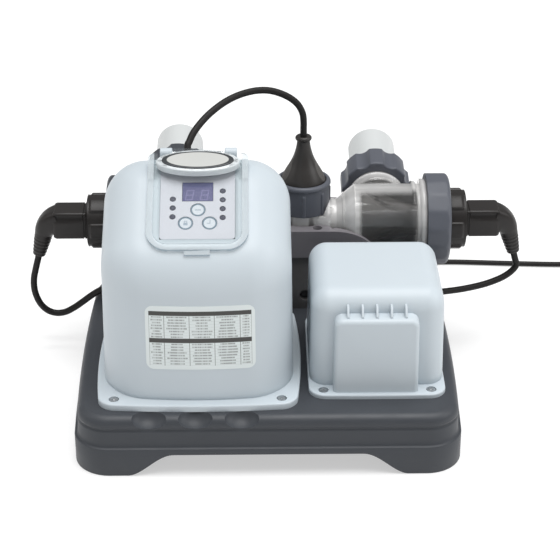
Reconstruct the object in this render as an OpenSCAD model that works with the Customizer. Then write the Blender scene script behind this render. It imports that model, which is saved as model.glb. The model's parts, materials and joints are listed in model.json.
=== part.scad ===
// Salt chlorine generator for a garden pool: a moulded base that carries a control unit,
// a power supply and a clear flow manifold with two electrode cells and a flow sensor.
// Millimetres. X runs to the right, Y to the back, Z up, and the origin is on the floor
// at the centre of the anchor holes.

/* [Base tray] */
// Width of the base at its widest
base_w = 380; // [372:1:392]
// Depth of the base, front to back
base_d = 304; // [298:1:324]
// Height of the deck above the floor
deck_z = 62; // [58:1:70]
// Wall thickness of the base
base_wall = 4; // [3:0.5:5]
// Plan radius of the base corners
base_corner_r = 33; // [30:1:40]
// How far the sides of the base swell out at the middle
side_swell = 5; // [2:0.5:8]
// Height of the step line round the skirt
skirt_z = 30; // [28:1:34]
// Inset of the body above the step line
step_in = 2.5; // [1:0.5:4]
// Radius of the rounded deck edge
lip_r = 12; // [8:1:14]
// Height of the archway between the feet
arch_h = 23.5; // [16:0.5:25]
// Width of the archway along its top
arch_w = 180; // [160:2:184]
// Length of the curve from the archway down to a foot
arch_run = 47; // [38:1:48]
// Spacing of the anchor holes across the base
anchor_dx = 300; // [294:1:308]
// Spacing of the anchor holes front to back
anchor_dy = 236; // [224:1:244]
// Diameter of the anchor holes
anchor_d = 6.4; // [5:0.1:8]
// Depth of the anchor holes
anchor_depth = 20; // [12:1:30]
// Diameter of the finger scallops in the front edge
scallop_d = 32; // [26:1:34]

/* [Control unit] */
// Place of the control unit across the base
control_x = -67; // [-72:1:-62]
// Front wall of the control housing
control_front = -126; // [-130:1:-122]
// Back wall of the control housing
control_back = 44; // [40:1:48]
// Width of the control housing at the deck
control_w = 184; // [176:1:190]
// Height of the control housing above the deck
control_h = 204; // [196:1:212]
// Wall thickness of the housings
shell_wall = 3.6; // [3:0.2:4]
// Slope of the keypad panel in degrees
panel_slope = 32; // [28:1:36]
// Thickness of the control flange
flange_t = 6.5; // [6:0.5:8]
// Margin of the control flange round its housing
flange_margin = 8; // [6:0.5:10]
// Width of the keypad lid
lid_w = 95; // [90:1:98]
// Length of the lid below the crest of the panel
lid_len = 77; // [74:1:78]
// Width of the keypad plate
plate_w = 70; // [66:1:74]
// Length of the keypad plate
plate_len = 67; // [65:1:68]
// Diameter of the push buttons
button_d = 14; // [12:0.5:15]
// Travel of the push buttons
button_travel = 0.8; // [0.5:0.1:1]

/* [Power supply] */
// Place of the power supply across the base
power_x = 105.5; // [104:0.5:108]
// Front wall of the power cover
power_front = -97; // [-99:1:-94]
// Back wall of the power cover
power_back = 30; // [26:1:34]
// Width of the power cover
power_w = 130; // [124:1:134]
// Height of the power cover above the deck
power_h = 103; // [98:1:110]
// Width of the raised front panel
front_panel_w = 82; // [74:1:84]
// Height of the raised front panel above the deck
front_panel_h = 83; // [76:1:86]
// How far the front panel stands out
front_panel_out = 14; // [10:0.5:15]
// Number of cooling fins above the front panel
fin_count = 5; // [3:1:7]

/* [Flow manifold] */
// Distance of the manifold axis behind the base centre
axis_y = 103; // [100:1:106]
// Height of the manifold axis above the deck
axis_h = 86; // [84:1:92]
// Outer radius of the electrode chambers
chamber_r = 37; // [36:0.5:38]
// Wall thickness of the clear manifold
clear_wall = 3.5; // [3:0.25:4]
// Length of an electrode chamber
chamber_len = 69; // [64:1:70]
// Outer radius of the centre tube
tube_r = 20; // [19:0.5:21]
// Place of the flow sensor across the base
sensor_x = 38.5; // [36:0.5:41]
// Radius of the cell collars
collar_r = 48; // [46:0.5:50]
// Radius of the union nuts
nut_r = 37; // [35:0.5:38]
// Outer radius of the hose cuffs
cuff_r = 25.5; // [25:0.1:25.8]
// Bore radius of the hose cuffs
cuff_bore_r = 19; // [17:0.25:20]
// Length of a hose cuff behind its nut
cuff_len = 60; // [40:1:80]
// Upward tilt of the hose ports in degrees
port_tilt = 7.5; // [0:0.5:10]

/* [Cables] */
// Diameter of the cell and sensor cables
cable_d = 7; // [6:0.25:7.5]
// Diameter of the mains cord
mains_d = 6; // [5:0.25:6.25]

/* [Fits] */
// Radial gap round pieces that turn by hand
turn_gap = 0.4; // [0.3:0.05:0.5]
// Gap round pieces that sit in a recess
seat_gap = 0.2; // [0.1:0.05:0.3]
// Radial gap between a hinge pin and its running bore
pin_gap = 0.05; // [0.03:0.01:0.08]

/* [Hidden] */
$fn = 64;
eps = 0.01;

// Colours
slate = [0.27, 0.29, 0.31];
pale = [0.78, 0.83, 0.86];
grey = [0.34, 0.35, 0.39];
black = [0.12, 0.12, 0.12];
steel = [0.75, 0.75, 0.75];
clear = [0.9, 0.92, 0.92, 0.4];
white = [0.95, 0.95, 0.94];

// Base
base_hw = base_w / 2 - side_swell;
base_hd = base_d / 2;
body_in = step_in + 1;
boss_r = 9;
scallop_pitch = 44;
scallop_x = control_x - 2;
scallop_rise = 4;
scallop_len = 18;

// Control housing: three arcs joined by straight tangents, seen from the side
front_r = 55;
crest_r = 45;
back_r = 45;
side_r = 42;
back_slope = 38;
crest_y = control_front + 107.6;
front_bow = 10;
side_draft = 0.015;
control_hw = control_w / 2;
panel_n = [-sin(panel_slope), cos(panel_slope)];
back_n = [sin(back_slope), cos(back_slope)];
crest_c = [crest_y, deck_z + control_h - crest_r];
front_cy = control_front + front_r;
front_rise = (crest_r - front_r - panel_n[0] * (front_cy - crest_c[0])) / panel_n[1];
front_c = [front_cy, crest_c[1] + front_rise];
back_cy = control_back - back_r;
back_rise = (crest_r - back_r - back_n[0] * (back_cy - crest_c[0])) / back_n[1];
back_c = [back_cy, crest_c[1] + back_rise];
panel_x = control_x + 2;
panel_top = crest_c + crest_r * panel_n;

// Panel stack, measured along the panel normal from the shell surface
plate_t = 1.8;
plate_top = -0.4;
plate_v = 3 - plate_len / 2;
board_top = -8;
board_t = 1.6;
board_w = plate_w + 8;
board_len = plate_len - 7;
post_dx = board_w / 2 - 3.5;
post_dv = 24;
ledge = 4;
display_w = 29;
display_len = 21;
display_v = -12;
lamp_d = 5.5;
lamp_pitch = 9.8;
lamps_right = [for (i = [0:3]) [23.5, -11.2 - lamp_pitch * i]];
lamps_left = [for (i = [0:2]) [-23.2, -20 - lamp_pitch * i]];
boost_at = [0.4, -32];
lock_at = [-11, -46.6];
timer_at = [11.4, -46.6];
button_top = 0;
button_flange_t = 1;
button_low = plate_top - plate_t - seat_gap - button_flange_t;

// Lid
lid_gap = 0.5;
lid_t = 3.4;
window_t = 2.2;
rim_w = 6;
lid_corner_r = 20;
badge_at = [-32, deck_z + control_h + 10];
badge_tilt = 14;
hinge_rise = 8;
hinge_a = 78;
knuckle_r = 5;
knuckle_w = 11.6;
knuckle_dx = 31;
pin_r = 1.5;
hinge_at = crest_c + (crest_r + hinge_rise) * [cos(hinge_a), sin(hinge_a)];

// Flanges and screws
flange_swell = 6;
flange_corner_r = 14;
control_flange_hw = control_hw + flange_margin - flange_swell;
control_flange_front = control_front - 6;
control_flange_back = control_back + 10;
control_screw_dx = control_flange_hw - 14;
control_screw_y = [control_flange_front + 9, control_flange_back - 10];
power_hw = power_w / 2;
power_flange_t = 4.5;
power_flange_front = power_front - 18;
power_flange_back = power_back + 16;
power_screw_dx = power_hw - 13;
power_screw_y = [power_flange_front + 9.5, power_flange_back - 8];
power_top_r = 20;
power_side_r = 18;
power_lean = 2;
screw_head_r = 4;
screw_head_t = 2.6;
screw_shank_r = 2.1;
recess_r = 5;
recess_depth = 3;

// Manifold, with the ends of its chambers measured along X
axis_z = deck_z + axis_h;
chamber_in_r = chamber_r - clear_wall;
tube_in_r = tube_r - clear_wall;
cell_in = sensor_x + 52.5;
cell_out = cell_in + chamber_len;
ion_in = sensor_x - 104;
ion_out = ion_in - chamber_len;
step_x = cell_in - 21;
step_r = chamber_r - 4;
cone_x = sensor_x + 8;
ion_cone_x = sensor_x - 66;
rim_t = 5;
rim_r = chamber_r + 5;
thread_r = chamber_r + 4;
thread_end = rim_t + 10;
head_t = 7;
head_gap = 0.3;
head_end = thread_end + head_gap + head_t;
collar_start = rim_t + 0.6;
collar_end = head_end + head_gap + 7.5;
stub_r = 26;
stub_hole_r = 29;
ring_start = collar_end + 0.6;
cell_stub_end = 47.6;
ion_stub_end = 51.5;
cell_ring_r = 32;
ion_ring_r = 29;
casing_r = 25.5;
casing_in_r = 23;
casing_start = -chamber_len + 7;
seal_r = 1.45;
head_seal_at = chamber_r - 0.2;
plug_gap = 0.2;
plug_len = 36;
plug_w = 30;
boot_end = [54, 0, -39];
boot_lean = 15;
boot_dir = [sin(boot_lean), 0, -cos(boot_lean)];
boot_r = cable_d / 2 + 2.3;

// Sensor
neck_r = 25;
neck_in_r = 21;
neck_top = axis_z + 35;
sensor_rim_r = neck_r - 0.2;
sensor_rim_t = 6;
bell_r = 23.5;
bell_base = neck_top + head_gap + sensor_rim_t;
bell_top = bell_base + 54;
sensor_collar_r = 28.5;
sensor_collar_z = neck_top - 21;
sensor_collar_top = bell_base + 6;
sensor_seal_at = 22.4;
paddle_z = neck_top - 25;
paddle_w = 11;
ear_t = 3;

// Hose ports, measured along their own axis
right_port = [sensor_x + 79.5, 50.5];
left_port = [sensor_x - 133.5, 63.2];
port_r = 27;
port_in_r = 22;
port_len = 14;
nut_len = 32;
nut_lip = 20;
cuff_rim_t = 5.4;
lobe_count = 8;

// Cradle and pedestal
cradle_hw = 75;
cradle_end = 45;
cradle_front = axis_y - 42;
cradle_back = axis_y + 41;
cradle_z = axis_z - tube_r - 4;
cradle_h = 30;
cradle_gap = 0.3;
pedestal_in = 4;
cradle_screw_dx = [-40, 14];
cradle_screw_dy = 33;

// Transformer
core_w = 84;
core_h = 70;
core_t = 44;
limb = 14;
core_y = power_front + 66;
window_h = core_h - 2 * limb;
bobbin_gap = 0.3;
winding_t = 12;
strap_t = 1.5;

// Cable ends
gland_r = 7.5;
gland_len = 12;
pad_r = 9.5;
ion_gland_at = [control_x - 65, control_back + 1, deck_z + 19.5];
cell_gland_at = [power_x + 49, power_back + 1.5, deck_z + 19.5];
back_slope_n = [0, back_n[0], back_n[1]];
back_slope_at = crest_c + crest_r * back_n + 14 * [back_n[1], -back_n[0]];
sensor_gland_at = [control_x - 10, back_slope_at[0], back_slope_at[1]] + 1 * back_slope_n;
mains_gland_at = [60, base_hd - step_in + 0.5, 42];
mains_gland_len = 28;

// Routes of the cables, end to end
cell_boot = [cell_out + cell_stub_end + plug_gap, axis_y, axis_z] + boot_end;
ion_boot = [ion_out - ion_stub_end - plug_gap, axis_y, axis_z] + [-boot_end[0], 0, boot_end[2]];
cell_route = concat(
    [cell_boot, cell_boot + 8 * boot_dir],
    [[265.8, 102.4, 92.5], [261, 100.8, 86], [253, 98.4, 81], [243, 95.4, 77.6], [232, 92.2, 75.2],
     [220, 88.8, 73.8], [208, 85.2, 73.2], [196, 81.4, 73.4], [184.5, 77, 74.4], [174, 71.5, 76.2],
     [165, 65, 78.6], [157.6, 57.6, 80.8]],
    [cell_gland_at + [0, gland_len + 8, 0], cell_gland_at + [0, gland_len, 0]]
);
ion_route = concat(
    [ion_boot, ion_boot + [-8 * boot_dir[0], 0, 8 * boot_dir[2]]],
    [[-245, 103, 91], [-247.5, 103, 80], [-248, 103, 68.5], [-246, 103, 57.5], [-241.5, 103, 47.5],
     [-234.5, 103, 40.5], [-225.5, 103, 37.5], [-216, 103, 39], [-206.5, 102.5, 44.5], [-197, 101.5, 52],
     [-187, 100, 60.5], [-177, 97.5, 68], [-166, 93, 73.5], [-154.5, 87, 77], [-144, 79, 79.5],
     [-135.8, 70, 81]],
    [ion_gland_at + [0, gland_len + 8, 0], ion_gland_at + [0, gland_len, 0]]
);
sensor_route = concat(
    [[sensor_x, axis_y, bell_top], [sensor_x, axis_y, bell_top + 8]],
    [[38.5, 103, 258], [37.4, 103, 267.5], [32.8, 103, 276.8], [25, 103, 284], [15, 103, 289.2],
     [4, 101.8, 292.8], [-7.5, 98.5, 294.4], [-19, 93, 294.4], [-30, 86, 293.2], [-40.5, 77.5, 290.8],
     [-50, 68, 287.4], [-58.5, 59, 283], [-66, 50, 277.6], [-71.8, 42, 272], [-75.6, 35.4, 265.8]],
    [sensor_gland_at + (gland_len + 7) * back_slope_n, sensor_gland_at + gland_len * back_slope_n]
);
lead_floor = 3.2;
lead_route = concat(
    [mains_gland_at + [0, mains_gland_len, 0], mains_gland_at + [0, mains_gland_len + 8, 0]],
    [[60.3, 196, 39], [61.5, 206, 33.5], [64, 216, 26], [68, 226, 18.2], [74, 236, 11.2],
     [82.5, 245.5, 6], [94, 254.5, 3.6], [108, 262.5, lead_floor], [124, 269, lead_floor],
     [142, 274.5, lead_floor], [161, 278.5, lead_floor], [181, 281, lead_floor], [202, 282.3, lead_floor],
     [224, 282.2, lead_floor], [246, 280.8, lead_floor], [268, 279.1, lead_floor], [290, 277.5, lead_floor],
     [312, 276, lead_floor], [334, 274.8, lead_floor], [356, 274, 3.4], [374, 273.6, 3.9],
     [390, 273.5, 4.3], [398, 273.5, 4.3]]
);

// Coil of the mains cord: in along the floor, up a layer, out again on top
coil_pitch = 6.7;
coil_r = 46;
coil_start = [398, 273.5, 4.3];
coil_c = [coil_start[0] + mains_d, coil_start[1] - coil_r];
coil_low = coil_start[2];
turns_in = 3;
turns_up = 0.5;
turns_out = 2.75;
loop_steps = 24;
coil_in_r = coil_r - coil_pitch * turns_in;
coil_turns = turns_in + turns_up + turns_out;
function coil_radius(s) = s < turns_in ? coil_r - coil_pitch * s
    : s < turns_in + turns_up ? coil_in_r
    : coil_in_r + coil_pitch * (s - turns_in - turns_up);
function coil_climb(s) = min(1, max(0, (s - turns_in) / turns_up));
function coil_height(s) = coil_low + coil_pitch * (1 - cos(180 * coil_climb(s))) / 2;
function coil_point(s) = [
    coil_c[0] + coil_radius(s) * sin(360 * s),
    coil_c[1] + coil_radius(s) * cos(360 * s),
    coil_height(s)
];
coil_end = coil_point(coil_turns) + [0, -mains_d, 0];
coil_turn_points = [for (i = [0:coil_turns * loop_steps]) coil_point(i / loop_steps)];
coil_route = concat([coil_start], coil_turn_points, [coil_end]);
half_loop = loop_steps / 2;
coil_gap = min([
    for (i = [0:len(coil_turn_points) - 1])
        for (j = [i + half_loop:1:len(coil_turn_points) - 1])
            norm(coil_turn_points[i] - coil_turn_points[j])
]) - mains_d;
echo(coil_gap = coil_gap);
tail_steps = [[0, 0, 0], [0, -8, 0], [0, -18, -0.6], [0, -30, -1.4], [0, -42, -1.6], [0, -54, -1], [0, -64, 0.3],
              [0, -73, 1], [0, -81, 1]];
tail_route = [for (step = tail_steps) coil_end + step];
plug_at = tail_route[len(tail_route) - 1];
plug_body_r = 18.5;
relief_len = 24;
plug_body_len = 34;
pin_pitch = 19;
pin_len = 19;
tie_w = 8;
tie_t = 0.8;

// Shape helpers
function unit(v) = v / norm(v);
function reversed(list) = [for (i = [len(list) - 1:-1:0]) list[i]];
function arc(c, r, a0, a1, n) = [
    for (i = [0:n]) c + r * [cos(a0 + (a1 - a0) * i / n), sin(a0 + (a1 - a0) * i / n)]
];

// Solid between rings of equal point count, each counter-clockwise seen from the last ring's side
module skin(rings) {
    n = len(rings[0]);
    m = len(rings);
    sides = [
        for (j = [0:m - 2])
            for (i = [0:n - 1])
                let (a = j * n + i, b = j * n + (i + 1) % n)
                    each [[a, a + n, b + n], [a, b + n, b]]
    ];
    low_cap = [for (i = [0:n - 1]) i];
    high_cap = [for (i = [n - 1:-1:0]) (m - 1) * n + i];
    polyhedron(points = [for (ring = rings) each ring], faces = concat([low_cap], sides, [high_cap]));
}

// Round tube along a list of points, its section carried along without twist
function tangent(p, i) = unit(
    (i < len(p) - 1 ? unit(p[i + 1] - p[i]) : [0, 0, 0]) + (i > 0 ? unit(p[i] - p[i - 1]) : [0, 0, 0])
);
function carried(p, side, i = 0) = i == len(p) ? []
    : let (t = tangent(p, i), s = unit(side - (side * t) * t)) concat([s], carried(p, s, i + 1));
module tube(p, d, sides, side = [0.2, 0.9, 0.4]) {
    s = carried(p, side);
    skin([
        for (i = [0:len(p) - 1])
            let (t = tangent(p, i), q = cross(t, s[i]))
                [for (k = [0:sides - 1]) p[i] + d / 2 * (cos(360 * k / sides) * s[i] + sin(360 * k / sides) * q)]
    ]);
}

// Rounded rectangle whose sides swell out in the middle, counter-clockwise
corner_steps = 6;
edge_steps = 6;
function corner(hw, hd, r, k) = let (sx = (k == 0 || k == 3) ? 1 : -1, sy = k < 2 ? 1 : -1)
    arc([sx * (hw - r), sy * (hd - r)], r, 90 * k, 90 * k + 90, corner_steps);
function plain_outline(hw, hd, r) = [
    for (k = [0:3])
        let (here = corner(hw, hd, r, k), next = corner(hw, hd, r, (k + 1) % 4))
            each concat(here, [
                for (i = [1:edge_steps - 1]) here[corner_steps] + (next[0] - here[corner_steps]) * i / edge_steps
            ])
];
function outline(hw, hd, r, swell_x, swell_y) = [
    for (p = plain_outline(hw, hd, r)) [
        p[0] * (1 + swell_x / hw * (1 - pow(p[1] / hd, 2))),
        p[1] * (1 + swell_y / hd * (1 - pow(p[0] / hw, 2)))
    ]
];
function raised(ring, z) = [for (p = ring) [p[0], p[1], z]];

// Extrusion along X of an outline drawn in Y and Z
module across(w) {
    rotate([90, 0, 90])
        linear_extrude(w, center = true)
            children();
}

// Cover whose side profile is drawn in by d towards its rounded sides.
// Each profile point is [y, z, share of the front shift].
function cover_station(hw, r, phi) = [hw - r + r * sin(phi), r * (1 - cos(phi))];
function cover_stations(hw, r, mids, steps) = let (
    half = [for (i = [0:steps]) cover_station(hw, r, 90 * i / steps)]
) concat(
    [for (s = reversed(half)) [-s[0], s[1]]],
    [for (i = [1:mids]) [(2 * i / (mids + 1) - 1) * (hw - r), 0]],
    half
);

// Control housing profile, drawn in by d, from the back foot over the crest to the front foot
function control_profile(d, foot) = concat(
    [[control_back - d, foot, 0]],
    [for (p = arc(back_c, back_r - d, 0, 90 - back_slope, 6)) [p[0], p[1], 0]],
    [for (p = arc(crest_c, crest_r - d, 90 - back_slope, 90 + panel_slope, 9)) [p[0], p[1], 0]],
    [
        for (i = [0:8])
            let (a = 90 + panel_slope + (90 - panel_slope) * i / 8, p = front_c + (front_r - d) * [cos(a), sin(a)])
                [p[0], p[1], i / 8]
    ],
    [[control_front + d, foot, 1]]
);
function control_map(x, p) = [
    control_x + x * (1 - side_draft * (p[1] - deck_z) / control_hw),
    p[0] + front_bow * pow(x / control_hw, 2) * p[2],
    p[1]
];
module control_solid(wall, foot) {
    skin([
        for (s = cover_stations(control_hw - wall, side_r - wall, 3, 7))
            [for (p = control_profile(s[1] + wall, foot)) control_map(s[0], p)]
    ]);
}

// Power cover profile: two arcs and a flat top
function power_profile(d, foot) = let (top = deck_z + power_h - power_top_r) concat(
    [[power_back - d, foot, 0]],
    [for (p = arc([power_back - power_top_r, top], power_top_r - d, 0, 90, 6)) [p[0], p[1], 0]],
    [for (p = arc([power_front + power_top_r, top], power_top_r - d, 90, 180, 6)) [p[0], p[1], 1]],
    [[power_front + d, foot, 1]]
);
function power_map(x, p) = [
    power_x + x * (1 - side_draft * (p[1] - deck_z) / power_hw),
    p[0] + power_lean * p[2] * (p[1] - deck_z) / power_h,
    p[1]
];
module power_solid(wall, foot) {
    skin([
        for (s = cover_stations(power_hw - wall, power_side_r - wall, 1, 6))
            [for (p = power_profile(s[1] + wall, foot)) power_map(s[0], p)]
    ]);
}

// Frames: the keypad panel, a chamber end, a hose port
module on_panel(v = 0, w = 0) {
    translate([panel_x, panel_top[0], panel_top[1]])
        rotate([panel_slope, 0, 0])
            translate([0, v, w])
                children();
}
module at_cell_end() {
    translate([cell_out, axis_y, axis_z])
        rotate([0, 90, 0])
            children();
}
module at_ion_end() {
    translate([ion_out, axis_y, axis_z])
        mirror([1, 0, 0])
            rotate([0, 90, 0])
                children();
}
module at_port(port) {
    translate([port[0], axis_y, axis_z])
        rotate([port_tilt - 90, 0, 0])
            children();
}
module x_cylinder(x0, x1, r0, r1) {
    translate([x0, axis_y, axis_z])
        rotate([0, 90, 0])
            cylinder(h = x1 - x0, r1 = r0, r2 = r1);
}
module hollow_cylinder(h, r, bore_r) {
    difference() {
        cylinder(h = h, r = r);
        translate([0, 0, -1])
            cylinder(h = h + 2, r = bore_r);
    }
}
module seal_ring(at, z) {
    translate([0, 0, z])
        rotate_extrude()
            translate([at, 0])
                circle(seal_r, $fn = 24);
}
module seal_groove(at, z, depth) {
    translate([0, 0, z])
        hollow_cylinder(depth, at + seal_r + 0.15, at - seal_r - 0.15);
}
module screw(len) {
    difference() {
        union() {
            cylinder(h = screw_head_t, r = screw_head_r);
            translate([0, 0, -len])
                cylinder(h = len + eps, r = screw_shank_r);
        }
        for (a = [0, 90])
            rotate(a)
                translate([-2.2, -0.4, screw_head_t - 1.2])
                    cube([4.4, 0.8, 2]);
    }
}
module control_screw_places() {
    for (s = [-1, 1], y = control_screw_y)
        translate([control_x + s * control_screw_dx, y, deck_z + flange_t - recess_depth])
            children();
}
module power_screw_places() {
    for (s = [-1, 1], y = power_screw_y)
        translate([power_x + s * power_screw_dx, y, deck_z + power_flange_t - recess_depth])
            children();
}
module cradle_screw_places() {
    for (x = cradle_screw_dx, t = [-1, 1])
        translate([sensor_x + x, axis_y + t * cradle_screw_dy, cradle_z + 8])
            children();
}

// Base tray
function base_ring(inset, z) = raised(
    outline(base_hw - inset, base_hd - inset, max(4, base_corner_r - inset), side_swell, 0), z
);
module base_shell() {
    lip_z = deck_z - lip_r;
    roof = deck_z - base_wall;
    skin(concat(
        [base_ring(base_wall + body_in + lip_r / 3, roof), base_ring(base_wall + body_in, roof - lip_r / 2),
         base_ring(base_wall + body_in, skirt_z + 2), base_ring(base_wall, skirt_z - 2), base_ring(base_wall, 0),
         base_ring(0, 0), base_ring(0, skirt_z), base_ring(step_in, skirt_z + 1.5)],
        [for (i = [0:5]) base_ring(body_in + lip_r * (1 - cos(18 * i)), lip_z + lip_r * sin(18 * i))]
    ));
}
module archway() {
    half = [
        for (i = [0:10]) [
            arch_w / 2 + arch_run * (1 - i / 10),
            arch_h * (1 - cos(180 * i / 10)) / 2
        ]
    ];
    rotate([90, 0, 0])
        linear_extrude(base_d + 2, center = true)
            polygon(concat(
                [[arch_w / 2 + arch_run, -1]], half,
                [for (p = reversed(half)) [-p[0], p[1]]], [[-arch_w / 2 - arch_run, -1]]
            ));
}
module scallop_places() {
    for (i = [-1:1])
        translate([scallop_x + i * scallop_pitch, -base_hd, deck_z + scallop_rise])
            rotate([-90, 0, 0])
                children();
}
module scallop(grow) {
    r = scallop_d / 2 + grow;
    rotate_extrude()
        polygon(concat(
            [[0, -2], [r, -2]], [for (a = [0:11.25:90]) [r * cos(a), (scallop_len + grow) * sin(a)]]
        ));
}
module base_core() {
    in = body_in + base_wall / 4;
    top = deck_z - base_wall / 4;
    skin(concat(
        [base_ring(in, skirt_z + base_wall)],
        [for (i = [0:4]) base_ring(in + lip_r * (1 - cos(18 * i)), top - lip_r * (1 - sin(18 * i)))]
    ));
}
module anchor_places() {
    for (x = [-1, 1], y = [-1, 1])
        translate([x * anchor_dx / 2, y * anchor_dy / 2, 0])
            children();
}
module pedestal(grow) {
    hw = cradle_hw - pedestal_in + grow;
    front = cradle_front + pedestal_in - grow;
    translate([sensor_x - hw, front, deck_z - base_wall - 1])
        cube([2 * hw, cradle_back - pedestal_in + grow - front, cradle_z - deck_z + base_wall + 1 + grow]);
}
module base_tray() {
    color(slate)
        difference() {
            union() {
                base_shell();
                anchor_places()
                    cylinder(h = deck_z - base_wall / 2, r = boss_r);
                intersection() {
                    scallop_places()
                        scallop(base_wall);
                    base_core();
                }
                pedestal(0);
                gland_pad(mains_gland_at, [0, 1, 0], 6);
                for (x = [cell_in + chamber_len / 2, ion_in - chamber_len / 2])
                    translate([x - 6, axis_y - 28, deck_z - base_wall / 2])
                        cube([12, 56, axis_h - 16]);
            }
            translate([0, 0, -1])
                pedestal(-base_wall);
            archway();
            scallop_places()
                scallop(0);
            anchor_places()
                translate([0, 0, -1])
                    cylinder(h = anchor_depth + 1, r = anchor_d / 2);
            control_screw_places()
                translate([0, 0, -30])
                    cylinder(h = 30, r = screw_shank_r + 0.05);
            power_screw_places()
                translate([0, 0, -30])
                    cylinder(h = 30, r = screw_shank_r + 0.05);
            cradle_screw_places()
                translate([0, 0, -18])
                    cylinder(h = 20, r = screw_shank_r + 0.05);
            translate([sensor_x + 2, cradle_front, deck_z + 16])
                rotate([-90, 0, 0])
                    cylinder(h = 12, r = 6);
            translate([mains_gland_at[0], base_hd - 20, mains_gland_at[2]])
                rotate([-90, 0, 0])
                    cylinder(h = 30, r = mains_d / 2 + 1);
            manifold_outer(cradle_gap);
        }
}

// Control unit
module panel_rect(w, len, depth_from, depth_to) {
    translate([-w / 2, -len / 2, depth_from])
        cube([w, len, depth_to - depth_from]);
}
module control_flange() {
    front = control_flange_front;
    back = control_flange_back;
    translate([control_x, (front + back) / 2, deck_z])
        linear_extrude(flange_t)
            polygon(outline(control_flange_hw, (back - front) / 2, flange_corner_r, flange_swell, 4.5));
}
module knuckle(x, w, r) {
    translate([panel_x + x, hinge_at[0], hinge_at[1]])
        rotate([0, 90, 0])
            cylinder(h = w, r = r, center = true);
}
module hinge_post(x) {
    knuckle(x, knuckle_w, knuckle_r);
    translate([panel_x + x, hinge_at[0], hinge_at[1]])
        rotate([hinge_a - 90, 0, 0])
            translate([0.3 - knuckle_w / 2, 0.6 - knuckle_r, -hinge_rise - shell_wall / 2])
                cube([knuckle_w - 0.6, 2 * knuckle_r - 1.2, hinge_rise + shell_wall / 2]);
}
module board_posts() {
    for (s = [-1, 1], t = [-1, 1])
        on_panel(plate_v, board_top)
            translate([s * post_dx, t * post_dv, 0])
                cylinder(h = -board_top - shell_wall / 2, r = 3);
}
module along(dir) {
    rotate([0, acos(dir[2]), atan2(dir[1], dir[0])])
        children();
}
module gland_pad(at, dir, depth) {
    translate(at)
        along(-dir)
            cylinder(h = depth, r = pad_r);
}
module control_housing() {
    color(pale)
        difference() {
            union() {
                difference() {
                    union() {
                        control_solid(0, deck_z + 1);
                        control_flange();
                    }
                    control_solid(shell_wall, deck_z - 1);
                }
                hinge_post(knuckle_dx);
                hinge_post(-knuckle_dx);
                board_posts();
                gland_pad(ion_gland_at, [0, 1, 0], 6);
                gland_pad(sensor_gland_at, back_slope_n, 3);
            }
            on_panel(plate_v)
                panel_rect(plate_w + 2 * seat_gap, plate_len + 2 * seat_gap, plate_top - plate_t, 2);
            on_panel(plate_v)
                panel_rect(plate_w - 2 * ledge, plate_len - 2 * ledge, -shell_wall - 1, 2);
            knuckle(0, 2 * knuckle_dx + knuckle_w + 2, pin_r + 0.02);
            control_screw_places()
                cylinder(h = recess_depth + 1, r = recess_r);
            control_screw_places()
                translate([0, 0, -flange_t])
                    cylinder(h = flange_t + 1, r = screw_shank_r + 0.15);
            translate(ion_gland_at + [0, 1, 0])
                along([0, -1, 0])
                    cylinder(h = 12, r = cable_d / 2 + 0.5);
            translate(sensor_gland_at + back_slope_n)
                along(-back_slope_n)
                    cylinder(h = 12, r = cable_d / 2 + 0.5);
        }
}
module keypad_plate() {
    color([0.88, 0.87, 0.9])
        difference() {
            on_panel(plate_v)
                panel_rect(plate_w, plate_len, plate_top - plate_t, plate_top);
            on_panel(display_v)
                panel_rect(display_w + 2 * seat_gap, display_len + 2 * seat_gap, -5, 2);
            for (at = [boost_at, lock_at, timer_at])
                on_panel(at[1], -5)
                    translate([at[0], 0, 0])
                        cylinder(h = 7, r = button_d / 2 + seat_gap);
            for (at = concat(lamps_left, lamps_right))
                on_panel(at[1], -5)
                    translate([at[0], 0, 0])
                        cylinder(h = 7, r = lamp_d / 2 + seat_gap);
        }
}
module display_lens() {
    color([0.37, 0.37, 0.59])
        on_panel(display_v)
            panel_rect(display_w, display_len, plate_top - plate_t, plate_top + 0.1);
}
module indicator_lamps() {
    color([0.2, 0.2, 0.28])
        for (at = concat(lamps_left, lamps_right))
            on_panel(at[1], board_top)
                translate([at[0], 0, 0])
                    cylinder(h = plate_top + 0.2 - board_top, r = lamp_d / 2);
}
module push_button(at) {
    color(white)
        on_panel(at[1])
            translate([at[0], 0, button_low]) {
                cylinder(h = button_top - button_low, r = button_d / 2);
                cylinder(h = button_flange_t, r = button_d / 2 + 1.4);
            }
}
module boost_button() {
    push_button(boost_at);
}
module lock_button() {
    push_button(lock_at);
}
module timer_button() {
    push_button(timer_at);
}
module control_board() {
    color([0.1, 0.35, 0.2])
        on_panel(plate_v)
            panel_rect(board_w, board_len, board_top - board_t, board_top);
}
module display_module() {
    color(black)
        on_panel(display_v)
            panel_rect(display_w - 2, display_len - 2, board_top, plate_top - plate_t - seat_gap / 2);
}
module tact_switches() {
    color(steel)
        for (at = [boost_at, lock_at, timer_at])
            on_panel(at[1])
                translate([at[0], 0, 0]) {
                    panel_rect(6.2, 6.2, board_top, board_top + 2.4);
                    translate([0, 0, board_top])
                        cylinder(h = button_low - button_travel - 0.1 - board_top, r = 1.75);
                }
}

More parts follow.
